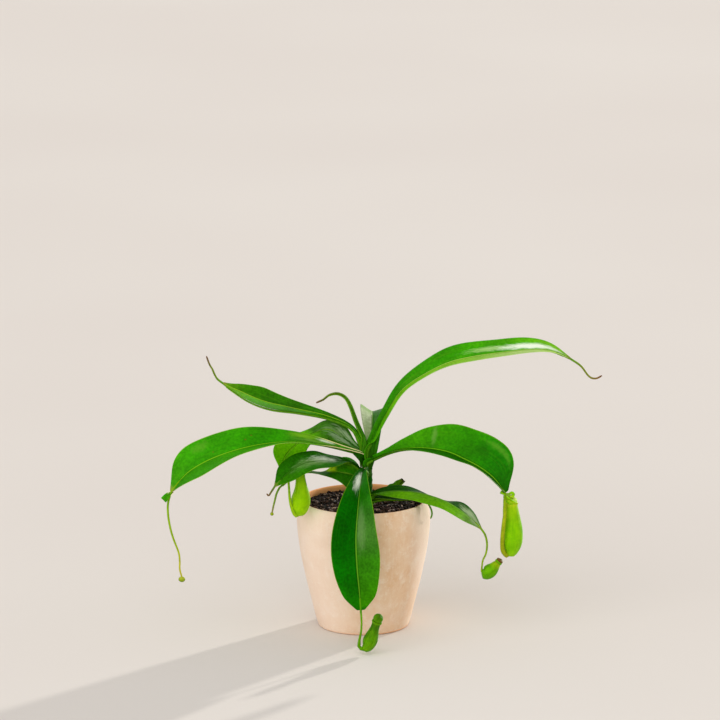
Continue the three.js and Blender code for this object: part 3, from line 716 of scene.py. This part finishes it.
        roll=[-30, -42, -14, -55, -65], fold_left=[20, -18, -20, 0, 5], fold_right=[30, 10, 0, 0, 5],
        wave=0.4,
        look=dict(
            # the paler stops from 0.6 on are painted direct light, the darker ones before them painted shade
            left=[(0, 34, 96, 2), (0.42, 50, 106, 14), (0.6, 84, 164, 0), (1, 100, 186, 0)],
            right=[(0, 34, 96, 2), (0.5, 54, 108, 18), (0.6, 88, 168, 0), (1, 104, 190, 0)],
            rib=(110, 176, 20), rib_from=0.5, pale=(110, 180, 10), deep=(30, 96, 0), veins=0.3,
            # the pale streaks are painted sheen
            marks=[streak(0.72, 0.20, 5, 22, (158, 178, 140), 0.7, 2.6),
                   streak(0.55, 0.33, 4, 18, (132, 160, 104), 0.55, 2.4),
                   streak(0.36, 0.24, 5, 24, (150, 172, 134), 0.6, 2.6)]),
        tendril_stops=[(0, 120, 162, 20), (1, 156, 196, 24)]),
    "leaf_lower_right": leaf(
        midrib=[(8, -4, 134), (21, -12, 139), (40, -22, 142), (59, -32, 142), (80, -40, 137),
                (95, -45, 129), (107, -48, 120), (116, -50, 111)],
        tendril=[(120, -51, 105), (122, -51, 96), (121, -51, 86), (118, -51, 79), (117, -51, 72)],
        carries="pitcher_small",
        half_widths=[3.4, 8, 11, 14, 16, 16, 15, 10, 1.4],
        roll=[24, 24, 18, 12, 20], fold_left=[20, 8, -4, -26, -38, -34, -4, 4, 15],
        fold_right=[20, 0, 2, 0, 0], wave=0.4,
        look=dict(
            # the pale greyish stops at the tip and the two marks are painted sheen
            left=[(0, 10, 62, 0), (0.6, 12, 74, 0), (0.85, 16, 84, 0), (1, 90, 130, 70)],
            right=[(0, 56, 116, 6), (0.3, 86, 150, 2), (0.75, 90, 156, 2), (0.9, 100, 146, 50),
                   (1, 120, 150, 90)],
            rib=(110, 160, 50), pale=(104, 164, 4), deep=(14, 74, 0), edge=(130, 176, 60), gloss=0.03,
            marks=[streak(0.30, 0.86, 9, 17, (164, 186, 140), 0.9, 1.8),
                   streak(0.52, 0.94, 14, 9, (156, 178, 128), 0.8, 1.2)]),
        tendril_stops=[(0, 110, 150, 20), (1, 140, 168, 12)]),
    "leaf_back_right": leaf(
        midrib=[(8, 3, 130), (19, 9, 132), (29, 14, 134), (36, 17, 138), (41, 19, 142.5)],
        half_widths=[3, 5, 6, 6.4, 4.4],
        roll=[10, 30], fold_left=[30, 50], wave=2.6,
        look=dict(
            left=[(0, 30, 84, 4), (0.6, 44, 104, 2), (0.85, 72, 124, 6), (1, 90, 110, 20)],
            right=[(0, 30, 84, 4), (0.6, 56, 116, 4), (0.85, 84, 136, 10), (1, 90, 110, 20)],
            rib=(90, 120, 30), pale=(90, 136, 20), deep=(24, 70, 0), tip=(40, 26, 12), tip_from=0.9,
            marks=[patch(0.5, 0.9, 3, 3, (24, 16, 8), 0.9, 1.5)])),
    "leaf_low_small": leaf(
        midrib=[(8, -3, 127), (18, -10, 131), (33, -15, 132), (48, -19, 133)],
        tendril=[(60, -21, 133), (66, -22, 126), (68, -22, 119), (66.5, -22, 114)],
        half_widths=[3, 6, 8, 6, 1.4],
        roll=[10, 10], fold_left=[30, 5], wave=0.5,
        look=dict(
            left=[(0, 20, 66, 0), (1, 26, 80, 0)],
            right=[(0, 24, 76, 0), (1, 34, 92, 2)],
            rib=(70, 120, 40), pale=(60, 110, 10), deep=(10, 50, 0), gloss=0.03),
        tendril_stops=[(0, 56, 112, 8), (1, 92, 142, 30)]),
    "leaf_back": leaf(
        midrib=[(6, 5, 176), (8, 12, 188), (8.5, 24, 199), (9, 42, 204.5), (9, 66, 202), (9, 94, 195),
                (9, 124, 185)],
        tendril=[(9, 136, 181)],
        half_widths=[3.4, 8, 12, 14.4, 14.6, 14, 12, 8, 1.4],
        roll=[0, 18, 20], fold_left=[40, 30, 26, 18, 15], fold_right=[40, 28, 28, 22, 18], wave=0.4,
        look=dict(
            # the pale left half is a painted reflection and the dark right half painted shade
            left=[(0, 80, 120, 40), (0.12, 150, 168, 116), (0.3, 172, 184, 146), (0.45, 130, 164, 90),
                  (1, 60, 140, 10)],
            right=[(0, 28, 86, 0), (0.3, 32, 96, 0), (1, 44, 124, 2)],
            rib=(110, 160, 60), pale=(96, 132, 70), deep=(20, 80, 0), veins=0.6, edge=(74, 104, 50)),
        tendril_stops=[(0, 90, 140, 20), (1, 120, 110, 40)]),
    "leaf_young": leaf(
        midrib=[(-1, 0, 191.5), (-8, 0, 207), (-13.6, 0, 223), (-18.6, -1, 232), (-26, -2, 236),
                (-34, -3, 235), (-40, -4, 231)],
        tendril=[(-47, -5, 228)],
        half_widths=[3.4, 3.6, 3.3, 2.8, 2.2, 1], rib_radius=1.2,
        roll=[0, 0], fold_left=[65, 65],
        look=dict(
            left=[(0, 36, 96, 4), (0.6, 60, 110, 10), (1, 84, 90, 30)],
            right=[(0, 30, 86, 2), (0.6, 44, 96, 4), (1, 84, 80, 30)],
            rib=(120, 160, 60), pale=FRESH, deep=(20, 70, 0),
            under=[(0, 48, 106, 4), (0.6, 56, 110, 8), (1, 84, 86, 30)]),
        tendril_stops=[(0, 84, 96, 24), (1, 104, 70, 48)]),
}

# Pitchers: the axis runs from the bottom up to the mouth, with radii at equal steps.
PITCHERS = {
    "pitcher_right": dict(
        axis=[(141.8, -27, 77.5), (145.6, -25.5, 82), (148, -24.5, 92), (148.3, -24, 103),
              (147.3, -24, 115), (145.8, -24.5, 126), (145.3, -25, 134)],
        radii=[4.4, 8, 9.7, 9.8, 9.5, 8.6, 7.9, 7.3, 6.9],
        facing=(0.52, -0.3, 0.8), mouth=6.9, front=(-1, -0.3, 0), lid=(1.6, 2.2), crumple=1.6,
        lid_skin=[(0, 128, 182, 6), (1, 158, 186, 20)],
        rolled=[([(136.3, -30, 143), (138.8, -32, 142), (141.8, -32.5, 139), (145.3, -32, 136.5),
                  (149.3, -30, 133), (152.6, -26, 130.5)], [1.9, 1.1, 0.8, 0.9, 1.0, 1.0]),
                ([(144, -29, 141), (146.5, -30, 142.6), (148.5, -29, 141), (147.5, -29.5, 138.5),
                  (145, -30, 138.3)], [0.9, 1.3, 1.5, 1.3, 0.7])],
        look=dict(skin=[(0, 132, 196, 2), (0.5, 126, 194, 0), (0.85, 150, 200, 6), (1, 186, 200, 30)],
                  vein=(92, 158, 0))),
    "pitcher_left": dict(
        axis=[(-66, -52, 124), (-63.3, -51, 129.5), (-62, -50, 137), (-61, -50, 145.5), (-61.2, -50, 154),
              (-62, -50, 163), (-62.8, -50, 170)],
        radii=[2.4, 7, 9, 9.2, 7.9, 6.1, 5, 4.6, 4.7],
        facing=(0.3, -0.2, 0.9), mouth=4.8, front=(-1, -0.2, 0), lid=(2.2, 1.9),
        look=dict(skin=[(0, 152, 206, 4), (0.4, 150, 204, 0), (1, 126, 186, 0)],
                  vein=(116, 176, 0), veins=0.25)),
    "pitcher_front": dict(
        axis=[(-1, -114.5, 4.6), (3.8, -113, 8.5), (6.8, -112.5, 15), (10, -112, 24), (13, -112, 33)],
        radii=[2.8, 5.9, 7.2, 6, 4.4, 4.3],
        facing=(0.3, -0.3, 0.9), mouth=4.3, front=(-0.6, -1, 0), lid=(4.3, 4.2),
        lid_facing=(0.2, -0.75, 0.6),
        look=dict(skin=[(0, 98, 160, 0), (0.5, 84, 146, 0), (0.85, 66, 124, 0), (1, 60, 106, 0)],
                  vein=(30, 84, 0), veins=0.75, streaks=0.5, streak=(128, 150, 10), specks=0.5)),
    "pitcher_small": dict(
        axis=[(116.5, -50, 65), (121.5, -50, 65.5), (127, -50, 69.5), (131, -50, 74), (133.5, -50, 77)],
        radii=[4.2, 6.6, 6.8, 5, 3.2],
        facing=(0.7, 0, 0.8), mouth=3.0, front=(-0.6, -1, 0.5), lid=(1.8, 1.9),
        lid_skin=[(0, 96, 52, 28), (1, 112, 84, 34)],
        look=dict(skin=[(0, 90, 160, 0), (0.6, 98, 166, 0), (0.9, 150, 186, 6), (1, 140, 120, 30)],
                  vein=(60, 120, 0), veins=0.5)),
}


# ---- Camera and light ----


def set_camera_and_light():
    """A long lens from the front, a low warm lamp from behind on the right and a soft one from the front."""
    camera_data = bpy.data.cameras.new("camera")
    camera_data.lens = 250
    camera_data.sensor_width = 36
    camera_data.sensor_height = 36
    camera_data.clip_end = 100
    camera = bpy.data.objects.new("camera", camera_data)
    camera.location = (-0.0035, -4.8296, 1.3586)
    camera.rotation_euler = (math.radians(77.303), 0, 0)
    scene = bpy.context.scene
    scene.collection.objects.link(camera)
    scene.camera = camera
    scene.view_settings.view_transform = "Standard"

    world = bpy.data.worlds.new("studio")
    world.use_nodes = True
    sky = world.node_tree.nodes["Background"].inputs
    sky[0].default_value = (1.0, 0.985, 0.97, 1)
    sky[1].default_value = 0.66
    scene.world = world

    def lamp(name, strength, towards_light, softness, colour):
        data = bpy.data.lights.new(name, "SUN")
        data.energy = strength
        data.color = colour
        data.angle = math.radians(softness)
        light = bpy.data.objects.new(name, data)
        light.location = Vector(towards_light) * 2
        light.rotation_euler = (-Vector(towards_light)).to_track_quat("-Z", "Y").to_euler()
        scene.collection.objects.link(light)

    lamp("low_key", 2.6, (0.63, 0.75, 0.21), 2.5, (1.0, 0.96, 0.9))
    lamp("front_fill", 1.5, (-0.34, -0.8, 0.5), 75, (1.0, 0.99, 0.97))


def lay_floor():
    """The plain pale floor, which is stage and not part of the plant."""
    bpy.ops.mesh.primitive_plane_add(size=40, location=(0, 0, 0))
    floor = bpy.context.object
    floor.name = "studio_floor"
    f = Finish("painted_floor", Specular_IOR_Level=0.1, Roughness=0.9)
    at = f.place()
    f.colour(f.ramp(f.noise(at, 0.8, 2), [(0.3, 219, 212, 206), (0.7, 222, 216, 210)]))
    f.bump(f.noise(at, 400, 2), 0.0001, 0.3)
    dress(floor, f.material)


# ---- Pot ----

# From under the foot up the outside, over the lip and down the inside to the floor
POT_RINGS = [
    (39, 0), (43.6, 0), (45.3, 0.7), (46, 3), (48.2, 10), (51.3, 24), (54.2, 35), (56.8, 45), (59.1, 56),
    (61.2, 66), (63.1, 76), (64.6, 86), (65.8, 96), (66.55, 105), (66.6, 110), (66.2, 115.5), (65.5, 120),
    (64.5, 124), (63.7, 126.6), (62.6, 128.4), (61.4, 129), (60.2, 128.6), (59.4, 127.2), (59.3, 124.5),
    (60.1, 118), (61, 108), (59.6, 90), (55.7, 66), (50.4, 38), (46.5, 20), (43, 11.5), (38, 9),
]


def make_pot(clay, damp_clay_painted_light):
    """A disc drawn up ring by ring into the wall; its inside is damp clay,
    brightened as painted light against the shade inside the pot.
    """
    pot = draw_up("pot_thrown", 96, POT_RINGS)
    bpy.ops.mesh.inset(thickness=6 * MM)
    close_up(pot)
    dress(pot, clay, damp_clay_painted_light)
    for face in pot.data.polygons:
        inwards = face.normal.xy.dot(face.center.xy) < -0.2 * face.center.xy.length
        floor = 0 < face.center.z < 20 * MM and face.normal.z > 0.9
        face.material_index = 1 if inwards or floor else 0
    finish_with(pot, "SUBSURF", levels=1, render_levels=1)
    smooth_over(pot)
    hand_over(pot, "pot")


# ---- Soil ----

SOIL_RINGS = [(40, 9.4), (46, 20), (50, 38), (55.3, 66), (59.2, 90), (60.0, 108), (59.6, 118), (59, 123)]
SOIL_TOP_INSETS = 27
LITTER_LEVEL = 123.4


def make_soil():
    """A plug of soil whose top is inset ring by ring, then heaved into lumps."""
    soil = draw_up("soil_bed", 120, SOIL_RINGS)
    for _ in range(SOIL_TOP_INSETS):
        bpy.ops.mesh.inset(thickness=2.0 * MM)
    close_up(soil)
    top = soil.vertex_groups.new(name="top")
    open_top = [v.index for v in soil.data.vertices if v.co.z > 0.1225 and v.co.xy.length < 0.0585]
    top.add(open_top, 1.0, "REPLACE")
    for name, scale, strength in (("heaves", 0.016, 0.0045), ("lumps", 0.0042, 0.0032),
                                  ("crumbs", 0.0016, 0.0012)):
        pattern = bpy.data.textures.new(name, "CLOUDS")
        pattern.noise_scale = scale
        pattern.noise_depth = 2
        finish_with(soil, "DISPLACE", texture=pattern, texture_coords="LOCAL", strength=strength,
                    mid_level=0.45, vertex_group="top")
    smooth_over(soil)
    dress(soil, soil_finish("peat_bed", [(0.3, 4, 2, 1), (0.55, 24, 16, 10), (0.75, 64, 48, 34)], 160))
    hand_over(soil, "soil")


def crumb_shape(name, subdivisions, material):
    """A ball with every corner pulled in or out."""
    shape, mesh = start(name, bpy.ops.mesh.primitive_ico_sphere_add, subdivisions=subdivisions, radius=1)
    for vertex in mesh.verts:
        choose(shape, mesh, [vertex])
        pull = dice.uniform(0.72, 1.25)
        stretch((pull, pull, pull), (0, 0, 0))
    bpy.ops.object.mode_set(mode="OBJECT")
    dress(shape, material)
    return shape


def scatter(shape, count, sizes, flatness, reach, length):
    """Copies of the shape over the soil, out to reach from its middle."""
    copies = []
    for _ in range(count):
        angle = dice.uniform(0, 2 * math.pi)
        out = reach * math.sqrt(dice.uniform(0.01, 1))
        x, y = out * math.cos(angle), out * math.sin(angle)
        size = dice.uniform(*sizes)
        copy = shape.copy()
        copy.data = shape.data.copy()
        copy.scale = (size * length * dice.uniform(0.7, 1.5) * MM, size * dice.uniform(0.7, 1.3) * MM,
                      size * flatness * MM)
        copy.rotation_euler = (dice.uniform(-0.7, 0.7), dice.uniform(-0.7, 0.7), dice.uniform(0, 6.28))
        copy.location = (x * MM, y * MM, (LITTER_LEVEL + dice.uniform(-0.6, 1.0)) * MM)
        bpy.context.scene.collection.objects.link(copy)
        copies.append(copy)
    return copies


def make_litter():
    """Crumbs, bark, grit and pale shreds that lie loose on the soil."""
    peat = soil_finish("peat_crumb", [(0.3, 10, 4, 2), (0.5, 30, 17, 10), (0.7, 92, 66, 50)], 260, 0.12)
    bark = soil_finish("bark_chip", [(0.3, 22, 10, 5), (0.5, 60, 36, 24), (0.7, 156, 120, 98)], 200, 0.25)
    shred = soil_finish("peat_shred", [(0.3, 20, 9, 5), (0.5, 56, 32, 22), (0.62, 218, 182, 162)], 170, 0.35)
    grit = soil_finish("pale_grit", [(0.3, 120, 108, 94), (0.7, 186, 176, 160)], 200)
    # the shape's subdivisions and finish, then how many of it, their sizes, flatness, reach and length
    kinds = [("crumb_round", 1, peat, 420, (0.9, 2.2), 0.8, 57, 1),
             ("crumb_sharp", 1, peat, 320, (0.8, 1.9), 0.7, 57, 1),
             ("crumb_bark", 1, bark, 170, (1.2, 3.2), 0.45, 55, 1),
             ("crumb_grit", 2, grit, 8, (0.6, 1.0), 0.8, 54, 1),
             ("crumb_shred", 1, shred, 260, (0.6, 1.2), 0.7, 54, 4.2)]
    shapes = [crumb_shape(*kind[:3]) for kind in kinds]
    crumbs = [crumb for shape, kind in zip(shapes, kinds) for crumb in scatter(shape, *kind[3:])]
    litter = join("soil_litter", crumbs)
    for shape in shapes:
        bpy.data.objects.remove(shape)
    hand_over(litter, None)


# ---- Stem ----

STEM_FOOT = 98
STEM_LENGTH = 88
STEM_HEIGHTS = [100 + 3 * i for i in range(9)] + [127 + 1.5 * i for i in range(38)]
LEAF_SCARS = [128, 135, 142, 148, 154, 160, 168, 175, 181]


def make_stem(bark):
    """Rings drawn up along the stem, swollen at each leaf scar."""
    rings = [(4.6, STEM_FOOT), (5.2, 99.5)]
    for height in STEM_HEIGHTS:
        t = (height - STEM_FOOT) / STEM_LENGTH
        nearest = min(abs(height - scar) for scar in LEAF_SCARS)
        rings.append((5.2 - 0.9 * t + 0.5 * math.exp(-((nearest / 1.3) ** 2)), height))
    stem = draw_up("stem_grown", 24, rings, STEM_AXIS.x)
    stretch((0.6, 0.6, 1), (STEM_AXIS.x * MM, 0, STEM_HEIGHTS[-1] * MM))
    close_up(stem)
    smooth_over(stem)
    dress(stem, bark)
    hand_over(stem, "stem")


# ---- Leaves ----


def tube(name, points, radii, material):
    """A round tapering strand through points, closed at both ends."""
    put_down_everything()
    data = bpy.data.curves.new(name, "CURVE")
    data.dimensions = "3D"
    data.bevel_depth = 1.0
    data.bevel_resolution = 2
    data.use_fill_caps = True
    spline = data.splines.new("POLY")
    spline.points.add(len(points) - 1)
    for place, point, radius in zip(spline.points, points, radii):
        place.co = (*(point * MM), 1)
        place.radius = radius * MM
    strand = bpy.data.objects.new(name, data)
    bpy.context.scene.collection.objects.link(strand)
    pick_up(strand)
    bpy.ops.object.convert(target="MESH")
    strand = bpy.context.object
    # the map's second number runs along the strand
    for loop, corner in zip(strand.data.loops, strand.data.uv_layers[0].data):
        where = strand.data.vertices[loop.vertex_index].co / MM
        nearest = min(range(len(points)), key=lambda i: (points[i] - where).length_squared)
        corner.uv = (0.5, nearest / (len(points) - 1))
    close_up(strand)
    smooth_over(strand)
    dress(strand, material)
    return strand


def sheath_rows(leaf):
    """Rows of the sheath that clasps the stem. Each row says where the midrib is, which way the leaf's
    right and its length point there, and its half width, left and right fold, bow and edge wave."""
    rows = []
    stations = stations_along(leaf["midrib"], ROWS + 1)
    _, root, _, side = stations[0]
    outwards = UP.cross(side).normalized()
    usual_foot = STEM_AXIS + outwards * SHEATH_RADIUS + UP * (root.z - SHEATH_DEPTH)
    foot = Vector(leaf["foot"]) if leaf["foot"] else usual_foot
    way = [foot, foot.lerp(Vector((foot.x, foot.y, root.z)), 0.6), root, stations[2][1]]
    root_place = 2 / 3
    for i in range(SHEATH_ROWS):
        t = i / SHEATH_ROWS
        heading = direction(way, t * root_place, 0.02)
        level = (side - heading * side.dot(heading)).normalized()
        half = read_list([*SHEATH_HALF_WIDTHS, leaf["half_widths"][0]], t)
        wrap = math.degrees(half / SHEATH_RADIUS)
        fold = leaf["fold_left"][0] * t * 0.6
        rows.append((on_curve(way, t * root_place), level, heading, half, fold, fold,
                     wrap * (1 - t) + SHEATH_BOW * t, 0))
    return rows


def blade_rows(leaf, count):
    """Rows along the blade alone, evenly spaced."""
    rows = []
    for t, point, along, side in stations_along(leaf["midrib"], count):
        right = Matrix.Rotation(math.radians(read_list(leaf["roll"], t)), 3, along) @ side
        half = read_list(leaf["half_widths"], t)
        folds = [read_list(leaf[key], t) for key in ("fold_left", "fold_right")]
        bow = leaf["bow"] + ROOT_BOW * max(0, 1 - t / ROOT_SHARE)
        rows.append((point, right, along, half, *folds, bow, leaf["wave"] * half / 20))
    return rows


def grow_blade(name, rows):
    """A flat grid, widened row by row, folded along its midrib and carried out along it."""
    last = len(rows) - 1
    blade, mesh = start(name, bpy.ops.mesh.primitive_grid_add, x_subdivisions=COLUMNS, y_subdivisions=last,
                        size=1)
    columns = COLUMNS + 1
    middle = COLUMNS // 2
    for i, (point, right, along, half, fold_left, fold_right, bow, wave) in enumerate(rows):
        row = mesh.verts[i * columns:(i + 1) * columns]
        centre = Vector((0, i / last - 0.5, 0))
        choose(blade, mesh, row)
        stretch((2 * half * MM, 1, 1), centre)
        # each half, from the midrib out: its fold, its hand, and how fast its margin waves
        for part, fold, hand, pace in ((row[:middle][::-1], fold_left, -1, 0.77),
                                       (row[middle + 1:], fold_right, 1, 0.62)):
            hinge = centre
            angle = fold + bow / COLUMNS
            for k, vertex in enumerate(part):
                choose(blade, mesh, part[k:])
                turn(-hand * angle, "Y", hinge)
                hinge = vertex.co.copy()
                angle = 2 * bow / COLUMNS
            choose(blade, mesh, part[-2:])
            shift((0, 0, wave * MM * math.sin(i * pace + len(name))))
        choose(blade, mesh, row)
        aim(Matrix((right, along, right.cross(along))).transposed(), centre)
        shift(point * MM - centre)
    finish_with(blade, "SOLIDIFY", thickness=BLADE_THICKNESS * MM, offset=0, use_even_offset=False,
                material_offset=1, material_offset_rim=0)
    finish_with(blade, "SUBSURF", levels=2, render_levels=2)
    smooth_over(blade)
    return blade


def length_of(points):
    """The straight steps from point to point, added up."""
    return sum((Vector(b) - Vector(a)).length for a, b in zip(points, points[1:]))


def make_tendril(name, leaf, blade_end):
    """The strand from the blade's end through the tendril's points, into the pitcher that it carries."""
    path = [leaf["midrib"][-1], *leaf["tendril"]]
    reach = stations_along(path, max(12, int(length_of(path) / 1.6)))
    points = blade_end + [point for _, point, _, _ in reach]
    radii = [1.0, 1.05] + [read_list(leaf["tendril_radii"], t) for t, _, _, _ in reach]
    if leaf["carries"]:
        base = [Vector(p) for p in PITCHERS[leaf["carries"]]["axis"]]
        points += [base[0].lerp(points[-1], 0.4), base[0].lerp(base[1], 0.3)]
        radii += [radii[-1] * 1.1, radii[-1] * 1.2]
    else:
        radii[-1] *= 0.55
    return tube(name + "_tendril", points, radii, tendril_finish(name + "_tendril", leaf["tendril_stops"]))


def make_rib(name, leaf, rows):
    """The midrib runs out under the blade and thins towards its tip."""
    points, radii = [], []
    for i, (point, right, along, *_) in enumerate(rows):
        radius = leaf["rib_radius"] * (1 - 0.55 * min(1, i / (len(rows) - 1) * 1.15))
        points.append(point - right.cross(along) * (radius * 0.75))
        radii.append(radius * min(1, 0.3 + i / 5))
    if leaf["tendril"]:
        points.pop()
        radii.pop()
    skin = tendril_finish(name + "_rib", [(0, 70, 130, 10), (1, 110, 160, 30)])
    return tube(name + "_rib", points, radii, skin)


def make_bud(name, at, radii):
    """The small ball that ends a free tendril."""
    bud, _ = start(name + "_bud", bpy.ops.mesh.primitive_uv_sphere_add, segments=16, ring_count=10, radius=1)
    stretch([radius * MM for radius in radii], (0, 0, 0))
    shift(Vector(at) * MM)
    smooth_over(bud)
    dress(bud, tendril_finish(name + "_bud", [(0, 120, 150, 20), (1, 170, 176, 50)]))
    return bud


def make_leaf(name, leaf):
    """The blade with its sheath, the tendril, the midrib under it, and any bud and flaps."""
    rows = sheath_rows(leaf) + blade_rows(leaf, ROWS + 1)
    blade = grow_blade(name + "_blade", rows)
    spine = [row[0] for row in rows]
    measures = (length_of(spine[SHEATH_ROWS:]) * MM, 2 * max(leaf["half_widths"]) * MM)
    face = leaf_finish(name + "_face", leaf["look"], *measures)
    under = underside_finish(name + "_under", leaf["look"], *measures)
    dress(blade, face, under)
    parts = [blade]
    if leaf["tendril"]:
        parts.append(make_tendril(name, leaf, spine[-3:-1]))
    parts.append(make_rib(name, leaf, rows))
    if leaf["bud"]:
        parts.append(make_bud(name, *leaf["bud"]))
    for shape in leaf["flaps"]:
        flap = grow_blade(name + "_flap", blade_rows(shape, FLAP_ROWS))
        own = shape["look"] and leaf_finish(name + "_flap", shape["look"], 40 * MM, 8 * MM)
        dress(flap, own or face, under)
        parts.append(flap)
    hand_over(join(name + "_grown", parts), name)


# ---- Pitchers ----

CUP_RINGS = 30
CUP_FOOT = 0.06  # share of the axis over which the cup's bottom rounds off
RIM_STEPS = 72
ROLL_STEPS = 30
WING_STEPS = 40


def stood_on(up, side):
    """The basis with Z along up and X along side."""
    return Matrix((side, up.cross(side), up)).transposed()


def ring_rows(mesh):
    """The sphere's vertices in rings from the bottom pole to the top pole."""
    by_height = {}
    for vertex in mesh.verts:
        by_height.setdefault(round(vertex.co.z, 4), []).append(vertex)
    return [by_height[z] for z in sorted(by_height)]


def make_cup(name, pitcher, stations):
    """A sphere drawn out ring by ring along the pitcher's axis."""
    cup, mesh = start(name + "_cup", bpy.ops.mesh.primitive_uv_sphere_add, segments=24, ring_count=CUP_RINGS,
                      radius=1)
    for row, (t, point, along, side) in zip(ring_rows(mesh), stations):
        choose(cup, mesh, row)
        height = row[0].co.z
        wide = max(row[0].co.xy.length, 1e-6)
        radius = read_list(pitcher["radii"], t)
        if t < CUP_FOOT:
            radius *= math.sqrt(max(t, 0.002) / CUP_FOOT) * 0.9
        if len(row) > 1:
            stretch((radius * MM / wide, radius * MM / wide, 1), (0, 0, height))
        aim(stood_on(along, side), (0, 0, height))
        shift(point * MM - Vector((0, 0, height)))
    close_up(cup)
    smooth_over(cup)
    dress(cup, pitcher_finish(name + "_skin", pitcher["look"]))
    return cup


def make_rim(name, pitcher, mouth_at, basis):
    """The ribbed ring round the mouth, and what is rolled back from it."""
    rim, mesh = start(name + "_rim", bpy.ops.mesh.primitive_torus_add, major_segments=RIM_STEPS,
                      minor_segments=12, major_radius=(pitcher["mouth"] - 0.3) * MM, minor_radius=1.1 * MM)
    # every third step stands out as a rib
    steps = {v: round(math.atan2(v.co.y, v.co.x) / (2 * math.pi) * RIM_STEPS) for v in mesh.verts}
    choose(rim, mesh, [v for v, step in steps.items() if step % 3 == 0])
    stretch((1.03, 1.03, 1.12), (0, 0, 0))
    choose(rim, mesh, mesh.verts)
    aim(basis, (0, 0, 0))
    shift(mouth_at * MM)
    smooth_over(rim)
    skin = pitcher_finish(name + "_rim_skin", dict(pitcher["look"], vein=(120, 110, 20), veins=0.5))
    dress(rim, skin)
    rolls = []
    for points, radii in pitcher.get("rolled", []):
        path = [point for _, point, _, _ in stations_along(points, ROLL_STEPS)]
        thick = [read_list(radii, i / (ROLL_STEPS - 1)) for i in range(ROLL_STEPS)]
        rolls.append(tube(name + "_roll", path, thick, skin))
    return [rim] + rolls


def make_lid(name, pitcher, mouth_at, facing, side):
    """A flattened ball with a ridge along its top, crumpled where the pitcher says so."""
    lift, half_height = pitcher["lid"]
    lid, mesh = start(name + "_lid", bpy.ops.mesh.primitive_uv_sphere_add, segments=28, ring_count=16,
                      radius=1)
    wide = (pitcher["mouth"] + 0.6) * MM
    stretch((wide, wide, half_height * MM), (0, 0, 0))
    choose(lid, mesh, [v for v in mesh.verts if abs(v.co.y) < wide * 0.2 and v.co.z > 0])
    stretch((1, 1, 1.18), (0, 0, 0))
    choose(lid, mesh, mesh.verts)
    up = Vector(pitcher.get("lid_facing", facing)).normalized()
    aim(stood_on(up, (side - up * side.dot(up)).normalized()), (0, 0, 0))
    shift((mouth_at + facing * lift) * MM)
    if "crumple" in pitcher:
        pattern = bpy.data.textures.new(name + "_crumple", "CLOUDS")
        pattern.noise_scale = 0.004
        finish_with(lid, "DISPLACE", texture=pattern, texture_coords="LOCAL",
                    strength=pitcher["crumple"] * MM, mid_level=0.5)
    smooth_over(lid)
    look = pitcher["look"]
    look = dict(look, skin=pitcher.get("lid_skin", look["skin"]), veins=0.2, specks=0.6)
    dress(lid, pitcher_finish(name + "_lid_skin", look))
    return lid


def make_wing(name, pitcher, stations, spread):
    """A narrow fringed fin up the cup's front, turned to one side by spread."""
    wing, mesh = start(name + "_wing", bpy.ops.mesh.primitive_grid_add, x_subdivisions=2,
                       y_subdivisions=WING_STEPS, size=1)
    rows = [mesh.verts[i * 3:(i + 1) * 3] for i in range(WING_STEPS + 1)]
    axis = [point for _, point, _, _ in stations]
    for i, row in enumerate(rows):
        t = 0.1 + 0.8 * i / WING_STEPS
        _, _, along, side = stations[min(int(t * CUP_RINGS), CUP_RINGS)]
        radius = read_list(pitcher["radii"], t)
        arm = Matrix.Rotation(math.radians(spread), 3, along) @ side
        ends = math.sin(math.pi * i / WING_STEPS) ** 0.5
        tooth = 0.35 * (i % 2)
        for vertex, out in zip(row, (radius - 1.2, radius, radius + (0.8 + tooth) * ends)):
            choose(wing, mesh, [vertex])
            shift((on_curve(axis, t) + arm * out) * MM - vertex.co)
    finish_with(wing, "SOLIDIFY", thickness=0.6 * MM, offset=0)
    smooth_over(wing)
    return wing


def make_pitcher(name, pitcher):
    """The cup with a ribbed rim, a lid and two fringed wings."""
    front = Vector(pitcher["front"])
    facing = Vector(pitcher["facing"]).normalized()
    stations = stations_along(pitcher["axis"], CUP_RINGS + 1, front)
    mouth_at = stations[-1][1]
    side = (front - facing * front.dot(facing)).normalized()
    cup = make_cup(name, pitcher, stations)
    parts = [cup, *make_rim(name, pitcher, mouth_at, stood_on(facing, side)),
             make_lid(name, pitcher, mouth_at, facing, side)]
    for spread in (-28, 28):
        wing = make_wing(name, pitcher, stations, spread)
        dress(wing, cup.data.materials[0])
        parts.append(wing)
    hand_over(join(name + "_grown", parts), name)


# ---- Making it ----

put_down_everything()
set_camera_and_light()
lay_floor()
# side is the colour painted on each pot's flanks as light
clay = terracotta_finish("terracotta_clay", bloom=(246, 228, 208), side=(250, 232, 218),
                         body=[(0.3, 226, 184, 144), (0.52, 234, 200, 166), (0.72, 240, 214, 190)])
# the damp inside's colours are brightened as painted light against the shade inside the pot
damp_clay_painted_light = terracotta_finish("terracotta_damp_painted_light", bloom=(255, 194, 138), side=(255, 180, 118),
                              body=[(0.3, 255, 168, 108), (0.7, 255, 184, 124)])
make_pot(clay, damp_clay_painted_light)
make_soil()
make_litter()
make_stem(stem_finish())
for leaf_name, numbers in LEAVES.items():
    make_leaf(leaf_name, numbers)
for pitcher_name, pitcher in PITCHERS.items():
    make_pitcher(pitcher_name, pitcher)

put_down_everything()
